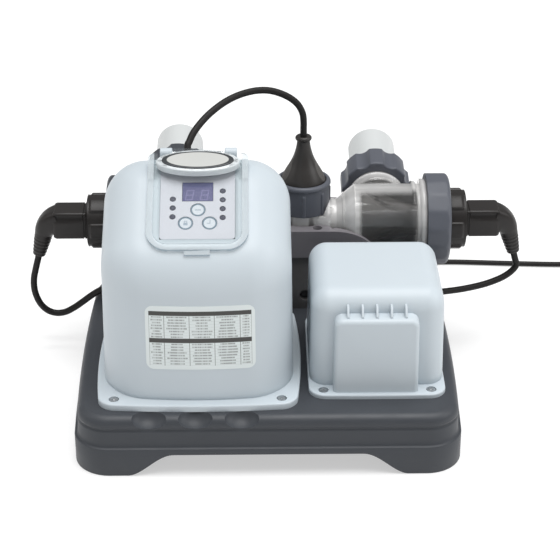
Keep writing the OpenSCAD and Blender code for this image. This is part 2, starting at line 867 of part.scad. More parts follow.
// Lid: a sheet that follows the housing, from below the panel over its crest
function lid_line(g) = concat(
    arc(front_c, front_r + g, 134, 90 + panel_slope, 4),
    arc(crest_c, crest_r + g, 90 + panel_slope, 87, 9)
);
function tab_line(g) = arc(front_c, front_r + g, 138, 126, 4);
module between(low, high, w) {
    translate([panel_x, 0, 0])
        across(w)
            polygon(concat(low, reversed(high)));
}
module lid_outline(inset) {
    hw = lid_w / 2 - inset;
    r = lid_corner_r - inset;
    low = -lid_len + inset;
    translate([-hw, low + r])
        square([2 * hw, lid_len + 60]);
    translate([-hw + r, low])
        square([2 * (hw - r), r + 1]);
    for (s = [-1, 1])
        translate([s * (hw - r), low + r])
            circle(r);
}
module lid_prism(inset) {
    on_panel(0, -30)
        linear_extrude(80)
            lid_outline(inset);
}
module oval(rx, ry, h) {
    linear_extrude(h)
        polygon([for (a = [0:7.5:352.5]) [rx * cos(a), ry * sin(a)]]);
}
module on_badge() {
    translate([panel_x, badge_at[0], badge_at[1]])
        rotate([badge_tilt, 0, 0])
            children();
}
module keypad_lid() {
    web_w = 2 * knuckle_dx - knuckle_w - 2 * turn_gap;
    web_from = crest_c + (crest_r + lid_gap + 0.4) * [cos(93), sin(93)];
    web_top = crest_c + (crest_r + lid_gap + lid_t) * [cos(93), sin(93)];
    color(clear)
        difference() {
            union() {
                intersection() {
                    between(lid_line(lid_gap), lid_line(lid_gap + lid_t), lid_w + 2);
                    lid_prism(0);
                }
                intersection() {
                    between(lid_line(lid_gap + 1), lid_line(lid_gap + 60), lid_w);
                    on_badge()
                        translate([0, 0, -30])
                            oval(41, 17, 30);
                }
                between(tab_line(lid_gap + 0.3), tab_line(lid_gap + 2.3), 24);
                knuckle(0, web_w, knuckle_r - 0.6);
                translate([panel_x, 0, 0])
                    across(web_w)
                        polygon([web_from, hinge_at + [1, -3.4], hinge_at + [0, 4], web_top]);
            }
            intersection() {
                between(lid_line(lid_gap + window_t), lid_line(lid_gap + 6), lid_w);
                lid_prism(rim_w);
                translate([panel_x, badge_at[0] - 118, 0])
                    translate([-lid_w, 0, deck_z])
                        cube([2 * lid_w, 100, 2 * control_h]);
            }
            knuckle(0, web_w + 2, pin_r + pin_gap);
        }
}
module lid_badge() {
    color([0.8, 0.8, 0.79])
        on_badge()
            oval(36, 15, 1.2);
}
module lid_hinge_pin() {
    color(steel)
        knuckle(0, 2 * knuckle_dx + knuckle_w, pin_r);
}
module control_screws() {
    color(steel)
        control_screw_places()
            screw(flange_t - recess_depth + base_wall + 2);
}

// Power supply
module power_flange() {
    translate([power_x, (power_flange_front + power_flange_back) / 2, deck_z])
        linear_extrude(power_flange_t)
            polygon(outline(power_hw + 1, (power_flange_back - power_flange_front) / 2, 16, 0.5, 1));
}
module front_panel() {
    r = 8;
    top = front_panel_h - r;
    hw = front_panel_w / 2;
    translate([power_x - 2, power_front + shell_wall, deck_z])
        rotate([90, 0, 0])
            linear_extrude(front_panel_out + shell_wall)
                polygon(concat(
                    [[hw, 0]], arc([hw - r - 1, top], r, 0, 90, 6), arc([-hw + r + 1, top], r, 90, 180, 6), [[-hw, 0]]
                ));
}
module fins() {
    pitch = (front_panel_w - 27) / (fin_count - 1);
    from = front_panel_h - 1;
    for (i = [0:fin_count - 1])
        translate([power_x - 2 + (i - (fin_count - 1) / 2) * pitch, power_front, deck_z])
            across(2.2)
                polygon([
                    [shell_wall, from], [1 - front_panel_out, from], [1 - front_panel_out, from + 4],
                    [-2, from + 12], [shell_wall, from + 12]
                ]);
}
module power_cover() {
    color(pale)
        difference() {
            union() {
                difference() {
                    union() {
                        power_solid(0, deck_z + 1);
                        power_flange();
                        front_panel();
                        fins();
                    }
                    power_solid(shell_wall, deck_z - 1);
                }
                gland_pad(cell_gland_at, [0, 1, 0], 4);
            }
            power_screw_places()
                cylinder(h = recess_depth + 1, r = recess_r);
            power_screw_places()
                translate([0, 0, -flange_t])
                    cylinder(h = flange_t + 1, r = screw_shank_r + 0.15);
            translate(cell_gland_at + [0, 1, 0])
                along([0, -1, 0])
                    cylinder(h = 12, r = cable_d / 2 + 0.5);
        }
}
module power_screws() {
    color(steel)
        power_screw_places()
            screw(power_flange_t - recess_depth + base_wall + 2);
}
module transformer_core() {
    color([0.45, 0.45, 0.46])
        translate([power_x, core_y, deck_z])
            difference() {
                translate([-core_w / 2, -core_t / 2, 0])
                    cube([core_w, core_t, core_h]);
                for (s = [-1, 1])
                    translate([s * (limb * 1.5 + 0.5) - limb / 2, -core_t, limb])
                        cube([limb, 2 * core_t, window_h]);
            }
}
module transformer_winding() {
    inner = [2 * limb + 1 + 2 * bobbin_gap, core_t + 2 * bobbin_gap];
    outer = inner + [2, 2] * winding_t;
    color([0.72, 0.42, 0.2])
        translate([power_x, core_y, deck_z + limb + bobbin_gap])
            linear_extrude(window_h - 2 * bobbin_gap)
                difference() {
                    square(outer, center = true);
                    square(inner, center = true);
                }
}
module transformer_bracket() {
    foot = 10;
    hw = core_w / 2 + bobbin_gap;
    top = core_h + bobbin_gap;
    color(steel)
        translate([power_x, core_y, deck_z])
            rotate([90, 0, 0])
                linear_extrude(core_t - 14, center = true)
                    polygon([
                        [-hw, 0], [-hw, top], [hw, top], [hw, 0], [hw + foot, 0], [hw + foot, strap_t],
                        [hw + strap_t, strap_t], [hw + strap_t, top + strap_t], [-hw - strap_t, top + strap_t],
                        [-hw - strap_t, strap_t], [-hw - foot, strap_t], [-hw - foot, 0]
                    ]);
}

// Manifold
module manifold_outer(c) {
    x_cylinder(ion_cone_x, cone_x, tube_r + c, tube_r + c);
    x_cylinder(cone_x - eps, step_x, tube_r + c, step_r + c);
    x_cylinder(step_x - 3, step_x, step_r + c + 2, step_r + c + 2);
    x_cylinder(step_x - eps, cell_in, step_r + c, chamber_r + c);
    x_cylinder(cell_in - eps, cell_out, chamber_r + c, chamber_r + c);
    x_cylinder(ion_in, ion_cone_x + eps, chamber_r + c, tube_r + c);
    x_cylinder(ion_out, ion_in + eps, chamber_r + c, chamber_r + c);
}
module collar_recess(grow) {
    translate([sensor_x, axis_y, sensor_collar_z - 0.6 - grow])
        cylinder(h = 80, r = sensor_collar_r + 1.5 + grow);
}
module end_outer() {
    translate([0, 0, -eps])
        cylinder(h = rim_t + eps, r = rim_r);
    translate([0, 0, -9])
        cylinder(h = 4, r = rim_r - 2.5);
    cylinder(h = thread_end, r = thread_r);
}
module port_outer(port) {
    cylinder(h = port[1] + port_len, r = port_r);
    translate([0, 0, port[1] - 9])
        cylinder(h = 3, r = port_r + 3);
}
module manifold_body() {
    color(clear)
        difference() {
            union() {
                difference() {
                    manifold_outer(0);
                    collar_recess(0);
                }
                at_cell_end()
                    end_outer();
                at_ion_end()
                    end_outer();
                translate([sensor_x, axis_y, axis_z])
                    cylinder(h = neck_top - axis_z, r = neck_r);
                at_port(right_port)
                    port_outer(right_port);
                at_port(left_port)
                    port_outer(left_port);
            }
            difference() {
                union() {
                    x_cylinder(ion_cone_x - 1, cone_x + 1, tube_in_r, tube_in_r);
                    x_cylinder(cone_x, cell_in, tube_in_r, chamber_in_r);
                }
                collar_recess(clear_wall);
            }
            x_cylinder(cell_in - eps, cell_out + thread_end + 1, chamber_in_r, chamber_in_r);
            x_cylinder(ion_in, ion_cone_x, chamber_in_r, tube_in_r);
            x_cylinder(ion_out - thread_end - 1, ion_in + eps, chamber_in_r, chamber_in_r);
            translate([sensor_x, axis_y, axis_z])
                cylinder(h = neck_top - axis_z + 1, r = neck_in_r);
            for (port = [right_port, left_port])
                at_port(port) {
                    cylinder(h = port[1] + port_len + 1, r = port_in_r);
                    seal_groove((port_r + port_in_r) / 2, port[1] + port_len - 2.6, 3);
                }
        }
}
module cradle_block() {
    end_h = cradle_h - 1;
    turn = [for (i = [0:10]) [cradle_hw - cradle_end * (1 - cos(9 * i)), 1 + end_h * sin(9 * i)]];
    translate([sensor_x, cradle_back, cradle_z])
        rotate([90, 0, 0])
            linear_extrude(cradle_back - cradle_front)
                polygon(concat(
                    [[-cradle_hw, 0], [cradle_hw, 0]], turn, [for (p = reversed(turn)) [-p[0], p[1]]]
                ));
}
module manifold_cradle() {
    color(grey)
        difference() {
            cradle_block();
            manifold_outer(cradle_gap);
            for (port = [right_port, left_port])
                at_port(port)
                    cylinder(h = port[1], r = port_r + cradle_gap);
            translate([sensor_x, axis_y, axis_z])
                cylinder(h = 60, r = neck_r + cradle_gap);
            translate([sensor_x, axis_y, cradle_z + tube_r])
                cylinder(h = 60, r = sensor_collar_r + 1.5);
            cradle_screw_places()
                cylinder(h = 60, r = recess_r);
            cradle_screw_places()
                translate([0, 0, -20])
                    cylinder(h = 21, r = screw_shank_r + 0.15);
        }
}
module cradle_screws() {
    color(steel)
        cradle_screw_places()
            screw(16);
}

// Electrode cells
module cell_tube() {
    translate([0, 0, casing_start])
        hollow_cylinder(thread_end + head_gap - casing_start, casing_r, casing_in_r);
}
module cell_cap(stub_end) {
    difference() {
        union() {
            translate([0, 0, thread_end + head_gap])
                cylinder(h = head_t, r = thread_r - 0.2);
            cylinder(h = stub_end, r = stub_r);
        }
        translate([0, 0, -1])
            cylinder(h = thread_end + head_gap + 1, r = stub_r + 1);
        seal_groove(head_seal_at, thread_end - 1, head_gap + 1 + 2 * seal_r - 0.1);
    }
}
module round_collar(hole_r) {
    edge = 6;
    h = collar_end - collar_start;
    sides = 16;
    flat_r = collar_r - 0.7;
    difference() {
        intersection() {
            translate([0, 0, collar_start])
                rotate_extrude()
                    polygon(concat(
                        [[0, 0], [collar_r - 1.5, 0], [collar_r, 1.5]],
                        arc([collar_r - edge, h - edge], edge, 0, 90, 8), [[0, h]]
                    ));
            rotate(180 / sides)
                linear_extrude(2 * collar_end)
                    polygon([
                        for (i = [0:sides - 1]) flat_r / cos(180 / sides) * [cos(360 * i / sides), sin(360 * i / sides)]
                    ]);
        }
        translate([0, 0, -1])
            cylinder(h = head_end + head_gap + 1, r = thread_r + turn_gap);
        translate([0, 0, collar_start - 1])
            cylinder(h = rim_t + 1 - collar_start + turn_gap, r = rim_r + turn_gap);
        cylinder(h = 2 * collar_end, r = hole_r);
    }
}
module grip_ring(start, end, r) {
    edge = 3.5;
    pads = 6;
    h = end - start;
    translate([0, 0, start])
        difference() {
            intersection() {
                rotate_extrude()
                    polygon(concat(
                        [[0, 0], [r - 1, 0], [r, 1]], arc([r - edge, h - edge], edge, 0, 90, 6), [[0, h]]
                    ));
                union() {
                    cylinder(h = h, r = r - 2);
                    for (i = [0:pads - 1])
                        rotate(360 * (i + 0.5) / pads)
                            translate([0, -r * 0.27, 0])
                                cube([r + 1, r * 0.54, h - 4]);
                }
            }
            translate([0, 0, -1])
                cylinder(h = h + 2, r = stub_r + turn_gap);
        }
}
module plug(side) {
    r = 3;
    hw = plug_w / 2 - r;
    taper = 26;
    taper_from = boot_end - taper * boot_dir;
    translate([side > 0 ? cell_out + cell_stub_end + plug_gap : ion_out - ion_stub_end - plug_gap, axis_y, axis_z])
        mirror([side > 0 ? 0 : 1, 0, 0]) {
            difference() {
                rotate([90, 0, 90])
                    linear_extrude(plug_len)
                        polygon(concat(
                            arc([hw, hw], r, 0, 90, 4), arc([-hw, hw], r, 90, 180, 4),
                            arc([-hw, -hw], r, 180, 270, 4), arc([hw, -hw], r, 270, 360, 4)
                        ));
                for (s = [-1, 1])
                    translate([4, s * plug_w / 2 - 0.8, 5])
                        cube([plug_len, 1.6, 1.6]);
            }
            hull() {
                translate([plug_len - eps, -plug_w / 2 + 2, -plug_w / 2 + 4])
                    cube([3, plug_w - 4, plug_w - 6]);
                translate(taper_from)
                    along(boot_dir)
                        cylinder(h = 4, r = boot_r + 4, $fn = 32);
            }
            translate(taper_from)
                along(boot_dir)
                    cylinder(h = taper, r1 = boot_r + 3.6, r2 = boot_r);
            for (i = [1:5])
                translate(taper_from + (i * 4 + 1) * boot_dir)
                    along(boot_dir)
                        cylinder(h = 2, r = boot_r + 3.9 - 0.5 * i);
        }
}
module cell_casing() {
    color(black)
        at_cell_end()
            cell_tube();
}
module electrode_plates() {
    reach = casing_in_r - 1;
    color([0.6, 0.6, 0.62])
        at_cell_end()
            for (i = [-2:2])
                let (w = 2 * sqrt(pow(reach, 2) - pow(7 * i, 2)) - 2)
                    translate([7 * i - 0.75, -w / 2, casing_start + 4])
                        cube([1.5, w, thread_end + head_gap - casing_start - 4]);
}
module cell_head() {
    color(black)
        at_cell_end()
            cell_cap(cell_stub_end);
}
module cell_seal() {
    color(black)
        at_cell_end()
            seal_ring(head_seal_at, thread_end + 0.12 + seal_r);
}
module cell_collar() {
    color(grey)
        at_cell_end()
            round_collar(stub_hole_r);
}
module cell_lock_ring() {
    color(black)
        at_cell_end()
            grip_ring(ring_start, cell_stub_end, cell_ring_r);
}
module cell_plug() {
    color(black)
        plug(1);
}
module ioniser_casing() {
    color(black)
        at_ion_end()
            cell_tube();
}
module ioniser_rods() {
    color([0.72, 0.42, 0.25])
        at_ion_end()
            for (a = [45:90:315])
                rotate(a)
                    translate([12, 0, casing_start + 4])
                        cylinder(h = thread_end + head_gap - casing_start - 4, r = 4);
}
module ioniser_head() {
    color(black)
        at_ion_end()
            cell_cap(ion_stub_end);
}
module ioniser_seal() {
    color(black)
        at_ion_end()
            seal_ring(head_seal_at, thread_end + 0.12 + seal_r);
}
module ioniser_collar() {
    color(grey)
        at_ion_end()
            round_collar(stub_hole_r);
}
module ioniser_lock_ring() {
    color(black)
        at_ion_end()
            grip_ring(ring_start, ion_stub_end, ion_ring_r);
}
module ioniser_plug() {
    color(black)
        plug(-1);
}

// Flow sensor
module sensor_body() {
    h = bell_top - bell_base;
    stem_r = 9;
    rim_z = neck_top + head_gap;
    color(black)
        translate([sensor_x, axis_y, 0])
            difference() {
                union() {
                    translate([0, 0, rim_z])
                        cylinder(h = sensor_rim_t + eps, r = sensor_rim_r);
                    translate([0, 0, bell_base])
                        rotate_extrude()
                            polygon([
                                [0, 0], [bell_r, 0], [bell_r, 4], [bell_r - 1.5, 9], [bell_r - 5.5, 16],
                                [bell_r - 9.5, 24], [bell_r - 12.5, 33], [bell_r - 14.5, 42], [bell_r - 15.5, 47],
                                [bell_r - 14, 48.5], [bell_r - 14, 51.5], [bell_r - 15.5, 53], [bell_r - 16.5, h],
                                [0, h]
                            ]);
                    translate([0, 0, paddle_z + 5])
                        cylinder(h = rim_z - paddle_z - 5 + eps, r = stem_r);
                    for (s = [-1, 1])
                        translate([-4, s * (paddle_w / 2 + turn_gap + ear_t / 2) - ear_t / 2, paddle_z - 4])
                            cube([8, ear_t, 12]);
                }
                translate([0, 0, rim_z - 1])
                    seal_groove(sensor_seal_at, 0, 2 * seal_r + 1);
                translate([0, 0, paddle_z])
                    rotate([90, 0, 0])
                        cylinder(h = 40, r = pin_r + 0.02, center = true);
            }
}
module sensor_seal() {
    color(black)
        translate([sensor_x, axis_y, 0])
            seal_ring(sensor_seal_at, neck_top + 0.12 + seal_r);
}
module sensor_collar() {
    h = sensor_collar_top - sensor_collar_z;
    rib_count = 8;
    color(grey)
        translate([sensor_x, axis_y, sensor_collar_z])
            difference() {
                union() {
                    cylinder(h = h - 3, r = sensor_collar_r - 1.2);
                    translate([0, 0, h - 5])
                        rotate_extrude()
                            polygon(concat(
                                [[0, 0], [sensor_collar_r - 1.2, 0], [sensor_collar_r, 1.2]],
                                arc([sensor_collar_r - 2, 3], 2, 0, 90, 4), [[0, 5]]
                            ));
                    intersection() {
                        cylinder(h = h - 4, r = sensor_collar_r);
                        for (i = [0:rib_count - 1])
                            rotate(360 * i / rib_count)
                                translate([0, -1.6, 0])
                                    cube([sensor_collar_r + 1, 3.2, h - 9]);
                    }
                }
                translate([0, 0, -1])
                    cylinder(h = bell_base + head_gap - sensor_collar_z + 1, r = neck_r + turn_gap);
                cylinder(h = h + 1, r = bell_r + turn_gap);
            }
}
module flow_paddle() {
    blade = axis_z - tube_in_r + 5;
    color(white)
        translate([sensor_x, axis_y, 0])
            difference() {
                union() {
                    translate([0, 0, paddle_z])
                        rotate([90, 0, 0])
                            cylinder(h = paddle_w, r = 3, center = true);
                    translate([-0.8, -paddle_w / 2, blade])
                        cube([1.6, paddle_w, paddle_z - blade]);
                }
                translate([0, 0, paddle_z])
                    rotate([90, 0, 0])
                        cylinder(h = paddle_w + 2, r = pin_r + pin_gap, center = true);
            }
}
module paddle_pin() {
    color(steel)
        translate([sensor_x, axis_y, paddle_z])
            rotate([90, 0, 0])
                cylinder(h = paddle_w + 2 * turn_gap + 2 * ear_t, r = pin_r, center = true);
}

// Hose unions
module hose_nut(port) {
    color(grey)
        at_port(port)
            translate([0, 0, port[1]])
                difference() {
                    cylinder(h = nut_len, r = nut_r);
                    for (i = [0:lobe_count - 1])
                        rotate(360 * (i + 0.5) / lobe_count + 90)
                            translate([nut_r + 8.8, 0, -1])
                                cylinder(h = nut_len + 2, r = 12);
                    translate([0, 0, -1])
                        cylinder(h = nut_lip + 1, r = port_r + turn_gap);
                    cylinder(h = nut_len + 1, r = cuff_r + turn_gap);
                }
}
module hose_cuff(port) {
    start = port[1] + port_len + turn_gap;
    color(white)
        at_port(port)
            difference() {
                union() {
                    translate([0, 0, start])
                        cylinder(h = cuff_rim_t, r = port_r - 0.2);
                    translate([0, 0, start])
                        cylinder(h = port[1] + nut_len + cuff_len - start, r = cuff_r);
                }
                translate([0, 0, start - 1])
                    cylinder(h = nut_len + cuff_len + 2, r = cuff_bore_r);
            }
}
module right_hose_nut() {
    hose_nut(right_port);
}
module left_hose_nut() {
    hose_nut(left_port);
}
module right_hose_cuff() {
    hose_cuff(right_port);
}
module left_hose_cuff() {
    hose_cuff(left_port);
}
module hose_seals() {
    color(black)
        for (port = [right_port, left_port])
            at_port(port)
                seal_ring((port_r + port_in_r) / 2, port[1] + port_len + turn_gap - 0.1 - seal_r);
}

// Glands, cables and mains cord
module gland(at, dir, len, d, tip_r) {
    color(black)
        translate(at)
            along(dir)
                difference() {
                    union() {
                        cylinder(h = 3, r = gland_r);
                        translate([0, 0, 3 - eps])
                            cylinder(h = len - 3 + eps, r1 = gland_r - 1.5, r2 = tip_r);
                    }
                    for (a = [0:60:300])
                        rotate(a)
                            translate([gland_r + 3.4, 0, -1])
                                cylinder(h = 3.2, r = 4);
                }
}
module cell_gland() {
    gland(cell_gland_at, [0, 1, 0], gland_len, cable_d, cable_d / 2 + 1.2);
}
module ioniser_gland() {
    gland(ion_gland_at, [0, 1, 0], gland_len, cable_d, cable_d / 2 + 1.2);
}
module sensor_gland() {
    gland(sensor_gland_at, back_slope_n, gland_len, cable_d, cable_d / 2 + 1.2);
}
module mains_gland() {
    gland(mains_gland_at, [0, 1, 0], mains_gland_len, mains_d, mains_d / 2 + 1.2);
}
module cell_cable() {
    color(black)
        tube(cell_route, cable_d, 10);
}
module ioniser_cable() {
    color(black)
        tube(ion_route, cable_d, 10);
}
module sensor_cable() {
    color(black)
        tube(sensor_route, cable_d, 10);
}
module mains_lead() {
    color(black)
        tube(lead_route, mains_d, 10, [0, 0, 1]);
}
module mains_coil() {
    color(black)
        tube(coil_route, mains_d, 6, [0, 0, 1]);
}
module mains_tail() {
    color(black)
        tube(tail_route, mains_d, 10, [0, 0, 1]);
}
module coil_tie() {
    slack = 0.3;
    inner = [coil_r - coil_in_r + mains_d + 2 * slack, coil_pitch + mains_d + 2 * slack];
    mid = (coil_r + coil_in_r) / 2;
    color(grey)
        translate([coil_c[0] - mid, coil_c[1], coil_low + coil_pitch / 2])
            rotate([90, 0, 0])
                linear_extrude(tie_w, center = true)
                    difference() {
                        square(inner + [2, 2] * tie_t, center = true);
                        square(inner, center = true);
                    }
}
module mains_plug() {
    color(black)
        translate(plug_at)
            rotate([90, 0, 0]) {
                cylinder(h = relief_len + eps, r1 = mains_d / 2 + 2, r2 = 9);
                intersection() {
                    translate([0, 0, relief_len])
                        cylinder(h = plug_body_len, r = plug_body_r);
                    translate([-plug_body_r, -plug_at[2], 0])
                        cube([2 * plug_body_r, 2 * plug_at[2], 2 * plug_body_len + relief_len]);
                }
            }
}
module plug_pins() {
    color(steel)
        translate(plug_at)
            rotate([90, 0, 0])
                for (s = [-1, 1])
                    translate([s * pin_pitch / 2, 0, relief_len + plug_body_len])
                        cylinder(h = pin_len, r = 2.4);
}

base_tray();
control_housing();
keypad_plate();
display_lens();
indicator_lamps();
boost_button();
lock_button();
timer_button();
control_board();
display_module();
tact_switches();
keypad_lid();
lid_badge();
lid_hinge_pin();
control_screws();
power_cover();
power_screws();
transformer_core();
transformer_winding();
transformer_bracket();
manifold_cradle();
cradle_screws();
manifold_body();
cell_casing();
electrode_plates();
cell_head();
cell_seal();
cell_collar();
cell_lock_ring();
cell_plug();
ioniser_casing();
ioniser_rods();
ioniser_head();
ioniser_seal();
ioniser_collar();
ioniser_lock_ring();
ioniser_plug();
sensor_body();
sensor_seal();
sensor_collar();
flow_paddle();
paddle_pin();
right_hose_nut();
left_hose_nut();
right_hose_cuff();
left_hose_cuff();
hose_seals();
cell_gland();
ioniser_gland();
sensor_gland();
mains_gland();
cell_cable();
ioniser_cable();
sensor_cable();
mains_lead();
mains_coil();
mains_tail();
coil_tie();
mains_plug();
plug_pins();
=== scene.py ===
"""Looks of a salt chlorine generator for a garden pool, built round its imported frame.

Lengths are millimetres until a mesh is made. Every piece keeps the frame's own axes: X to the right,
Y to the back and Z up, with the origin on the floor.
"""
import json
import math

import bmesh
import bpy
import numpy as np
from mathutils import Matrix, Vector


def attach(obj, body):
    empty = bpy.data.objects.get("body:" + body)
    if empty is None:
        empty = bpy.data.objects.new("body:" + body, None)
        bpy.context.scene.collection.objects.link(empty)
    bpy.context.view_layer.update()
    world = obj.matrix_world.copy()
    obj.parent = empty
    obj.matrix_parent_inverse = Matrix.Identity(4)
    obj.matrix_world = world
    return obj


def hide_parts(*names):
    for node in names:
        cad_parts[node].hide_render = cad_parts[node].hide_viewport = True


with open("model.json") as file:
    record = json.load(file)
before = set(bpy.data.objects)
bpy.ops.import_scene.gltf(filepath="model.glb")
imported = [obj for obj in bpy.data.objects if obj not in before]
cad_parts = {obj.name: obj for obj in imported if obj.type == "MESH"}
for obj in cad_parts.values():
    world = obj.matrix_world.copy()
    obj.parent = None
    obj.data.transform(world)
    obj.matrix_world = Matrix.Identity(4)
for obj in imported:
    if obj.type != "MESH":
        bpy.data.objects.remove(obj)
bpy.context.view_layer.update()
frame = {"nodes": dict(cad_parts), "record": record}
SLOT_OF = {row["node"]: row["material_slot"] for row in frame["record"]["subparts"]}
# The plugs and the sensor are shown as hard plastic
SLOT_OF.update(dict.fromkeys(("cell_plug", "ioniser_plug", "sensor_body"), "black_plastic"))
BODY_OF = {node: body for body, nodes in frame["record"]["behaviour"]["bodies"].items() for node in nodes}
MM = 0.001
X_AXIS, Y_AXIS, Z_AXIS = np.eye(3)

# Measurements that several pieces share
DECK = 62
CONTROL_X, CONTROL_FRONT, CONTROL_BACK = -67, -126, 44
CONTROL_HW, CONTROL_H, SIDE_R = 92, 204, 42
FRONT_R, CREST_R, BACK_R = 55, 45, 45
PANEL_SLOPE, BACK_SLOPE = 32, 38
FRONT_BOW, SIDE_DRAFT = 10, 0.015
PANEL_X = CONTROL_X + 2
PANEL_ACROSS = np.array([0, math.cos(math.radians(PANEL_SLOPE)), math.sin(math.radians(PANEL_SLOPE))])
PANEL_OUT = np.array([0, -PANEL_ACROSS[2], PANEL_ACROSS[1]])
BACK_OUT = np.array([0, math.sin(math.radians(BACK_SLOPE)), math.cos(math.radians(BACK_SLOPE))])
CREST_C = np.array([CONTROL_FRONT + 107.6, DECK + CONTROL_H - CREST_R])
PANEL_TOP = np.array([PANEL_X, *(CREST_C + CREST_R * PANEL_OUT[1:])])
AXIS_Y, AXIS_Z, CHAMBER_R = 103.0, 148.0, 37.4
AXIS = np.array([0, AXIS_Y, AXIS_Z])
GLAND_PAD_R, GLAND_Z = 9.5, DECK + 19.5


# Camera, at the photograph's angle
AIM = Vector((0.0135, 0.035, 0.112))
AZIMUTH = math.radians(-0.8)
ELEVATION = math.radians(28)
DISTANCE = 1.76
LENS = 110.57


def photo_camera():
    """Camera on a sphere round the aim point, at the azimuth, elevation and distance above, looking at it."""
    flat = math.cos(ELEVATION)
    away = Vector((flat * math.sin(AZIMUTH), -flat * math.cos(AZIMUTH), math.sin(ELEVATION)))
    camera = bpy.data.objects.new("photo_camera", bpy.data.cameras.new("photo_camera"))
    camera.data.lens = LENS
    camera.data.sensor_width = 36
    camera.location = AIM + DISTANCE * away
    camera.rotation_euler = (-away).to_track_quat("-Z", "Y").to_euler()
    bpy.context.scene.collection.objects.link(camera)
    bpy.context.scene.camera = camera


photo_camera()


# Meshes from grids of points
def merged(mesh, outward=False):
    """Merges equal points of a mesh, which closes seams and poles, and turns the faces of a closed one outwards."""
    work = bmesh.new()
    work.from_mesh(mesh)
    bmesh.ops.remove_doubles(work, verts=work.verts, dist=2e-6)
    bmesh.ops.dissolve_degenerate(work, edges=work.edges, dist=1e-7)
    if outward:
        bmesh.ops.recalc_face_normals(work, faces=work.faces)
    work.to_mesh(mesh)
    work.free()
    return mesh


def shaded(mesh, sharp):
    """Shades a mesh smooth, except along edges sharper than the angle."""
    mesh.shade_smooth()
    mesh.set_sharp_from_angle(angle=math.radians(sharp))


def piece(name, grids, material, nodes="", sharp=32, solid=True):
    """Object made of grids of points in millimetres, each an array (rows, columns, 3) or a tuple of it with its
    UV array (rows, columns, 2) and a hole (first row, last row, first column, last column) left open.
    Neighbouring points of a grid are joined by quads."""
    points, quads, uvs = [], [], []
    start = 0
    for item in grids:
        grid, uv, hole = item if isinstance(item, tuple) else (item, None, None)
        rows, columns = grid.shape[:2]
        index = start + np.arange(rows * columns).reshape(rows, columns)
        quad = np.stack([index[:-1, :-1], index[1:, :-1], index[1:, 1:], index[:-1, 1:]], -1)
        keep = np.ones(quad.shape[:2], bool)
        if hole:
            keep[hole[0]:hole[1], hole[2]:hole[3]] = False
        points.append(grid.reshape(-1, 3))
        quads.append(quad[keep])
        uvs.append(np.zeros((rows * columns, 2)) if uv is None else uv.reshape(-1, 2))
        start += rows * columns
    mesh = bpy.data.meshes.new(name)
    mesh.from_pydata((np.vstack(points) * MM).tolist(), [], np.vstack(quads).tolist())
    corner = np.zeros(len(mesh.loops), np.int32)
    mesh.loops.foreach_get("vertex_index", corner)
    mesh.uv_layers.new(name="UVMap").data.foreach_set("uv", np.vstack(uvs)[corner].astype(np.float32).ravel())
    return placed(name, merged(mesh, solid), material, nodes, sharp)


def placed(name, mesh, material, nodes, sharp):
    """Object of a finished mesh. It stands for the CAD nodes named, and rides on their body."""
    shaded(mesh, sharp)
    mesh.materials.clear()
    mesh.materials.append(material)
    made = bpy.data.objects.new(name, mesh)
    bpy.context.scene.collection.objects.link(made)
    nodes = nodes.split()
    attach(made, BODY_OF[nodes[0]] if nodes else "base")
    if nodes:
        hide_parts(*nodes)
    return made


def smoothed(node, sharp=30):
    """Merged copy of a CAD node with smooth shading and the node's own finish, which stands for the node."""
    return placed(node + "_finish", merged(frame["nodes"][node].data.copy()), KEPT[node], node, sharp)


def carve(made, solids, sharp=32, operation="DIFFERENCE"):
    """Takes closed solids, given as grids or pieces, out of a closed piece, or joins or keeps what they share, then
    shades it again."""
    material = made.data.materials[0]
    cutters = [s if isinstance(s, bpy.types.Object) else piece("cutter", [s], material) for s in solids]
    for cutter in cutters:
        cut = made.modifiers.new("cut", "BOOLEAN")
        cut.operation = operation
        cut.solver = "EXACT"
        cut.object = cutter
    bpy.context.view_layer.update()
    mesh = bpy.data.meshes.new_from_object(made.evaluated_get(bpy.context.evaluated_depsgraph_get()))
    made.modifiers.clear()
    made.data = mesh
    shaded(mesh, sharp)
    for cutter in cutters:
        bpy.data.objects.remove(cutter)
    return made


def softened_edges(made, width, segments=2, angle=40):
    """Rounds the sharp edges of a piece by a small radius in millimetres."""
    bevel = made.modifiers.new("soft_edge", "BEVEL")
    bevel.width = width * MM
    bevel.segments = segments
    bevel.limit_method = "ANGLE"
    bevel.angle_limit = math.radians(angle)
    return made


def walled(made, wall):
    """Gives an open skin a wall towards its inside."""
    thick = made.modifiers.new("wall", "SOLIDIFY")
    thick.thickness = wall * MM
    thick.offset = -1
    return made


# Shapes as arrays of points
def unit(vectors):
    """Directions of vectors."""
    return vectors / np.linalg.norm(vectors, axis=-1, keepdims=True)


def arc(centre, radius, start, stop, count=12):
    """Points of a circle from one angle to another, in degrees."""
    angle = np.radians(np.linspace(start, stop, count))
    return np.stack([centre[0] + radius * np.cos(angle), centre[1] + radius * np.sin(angle)], -1)


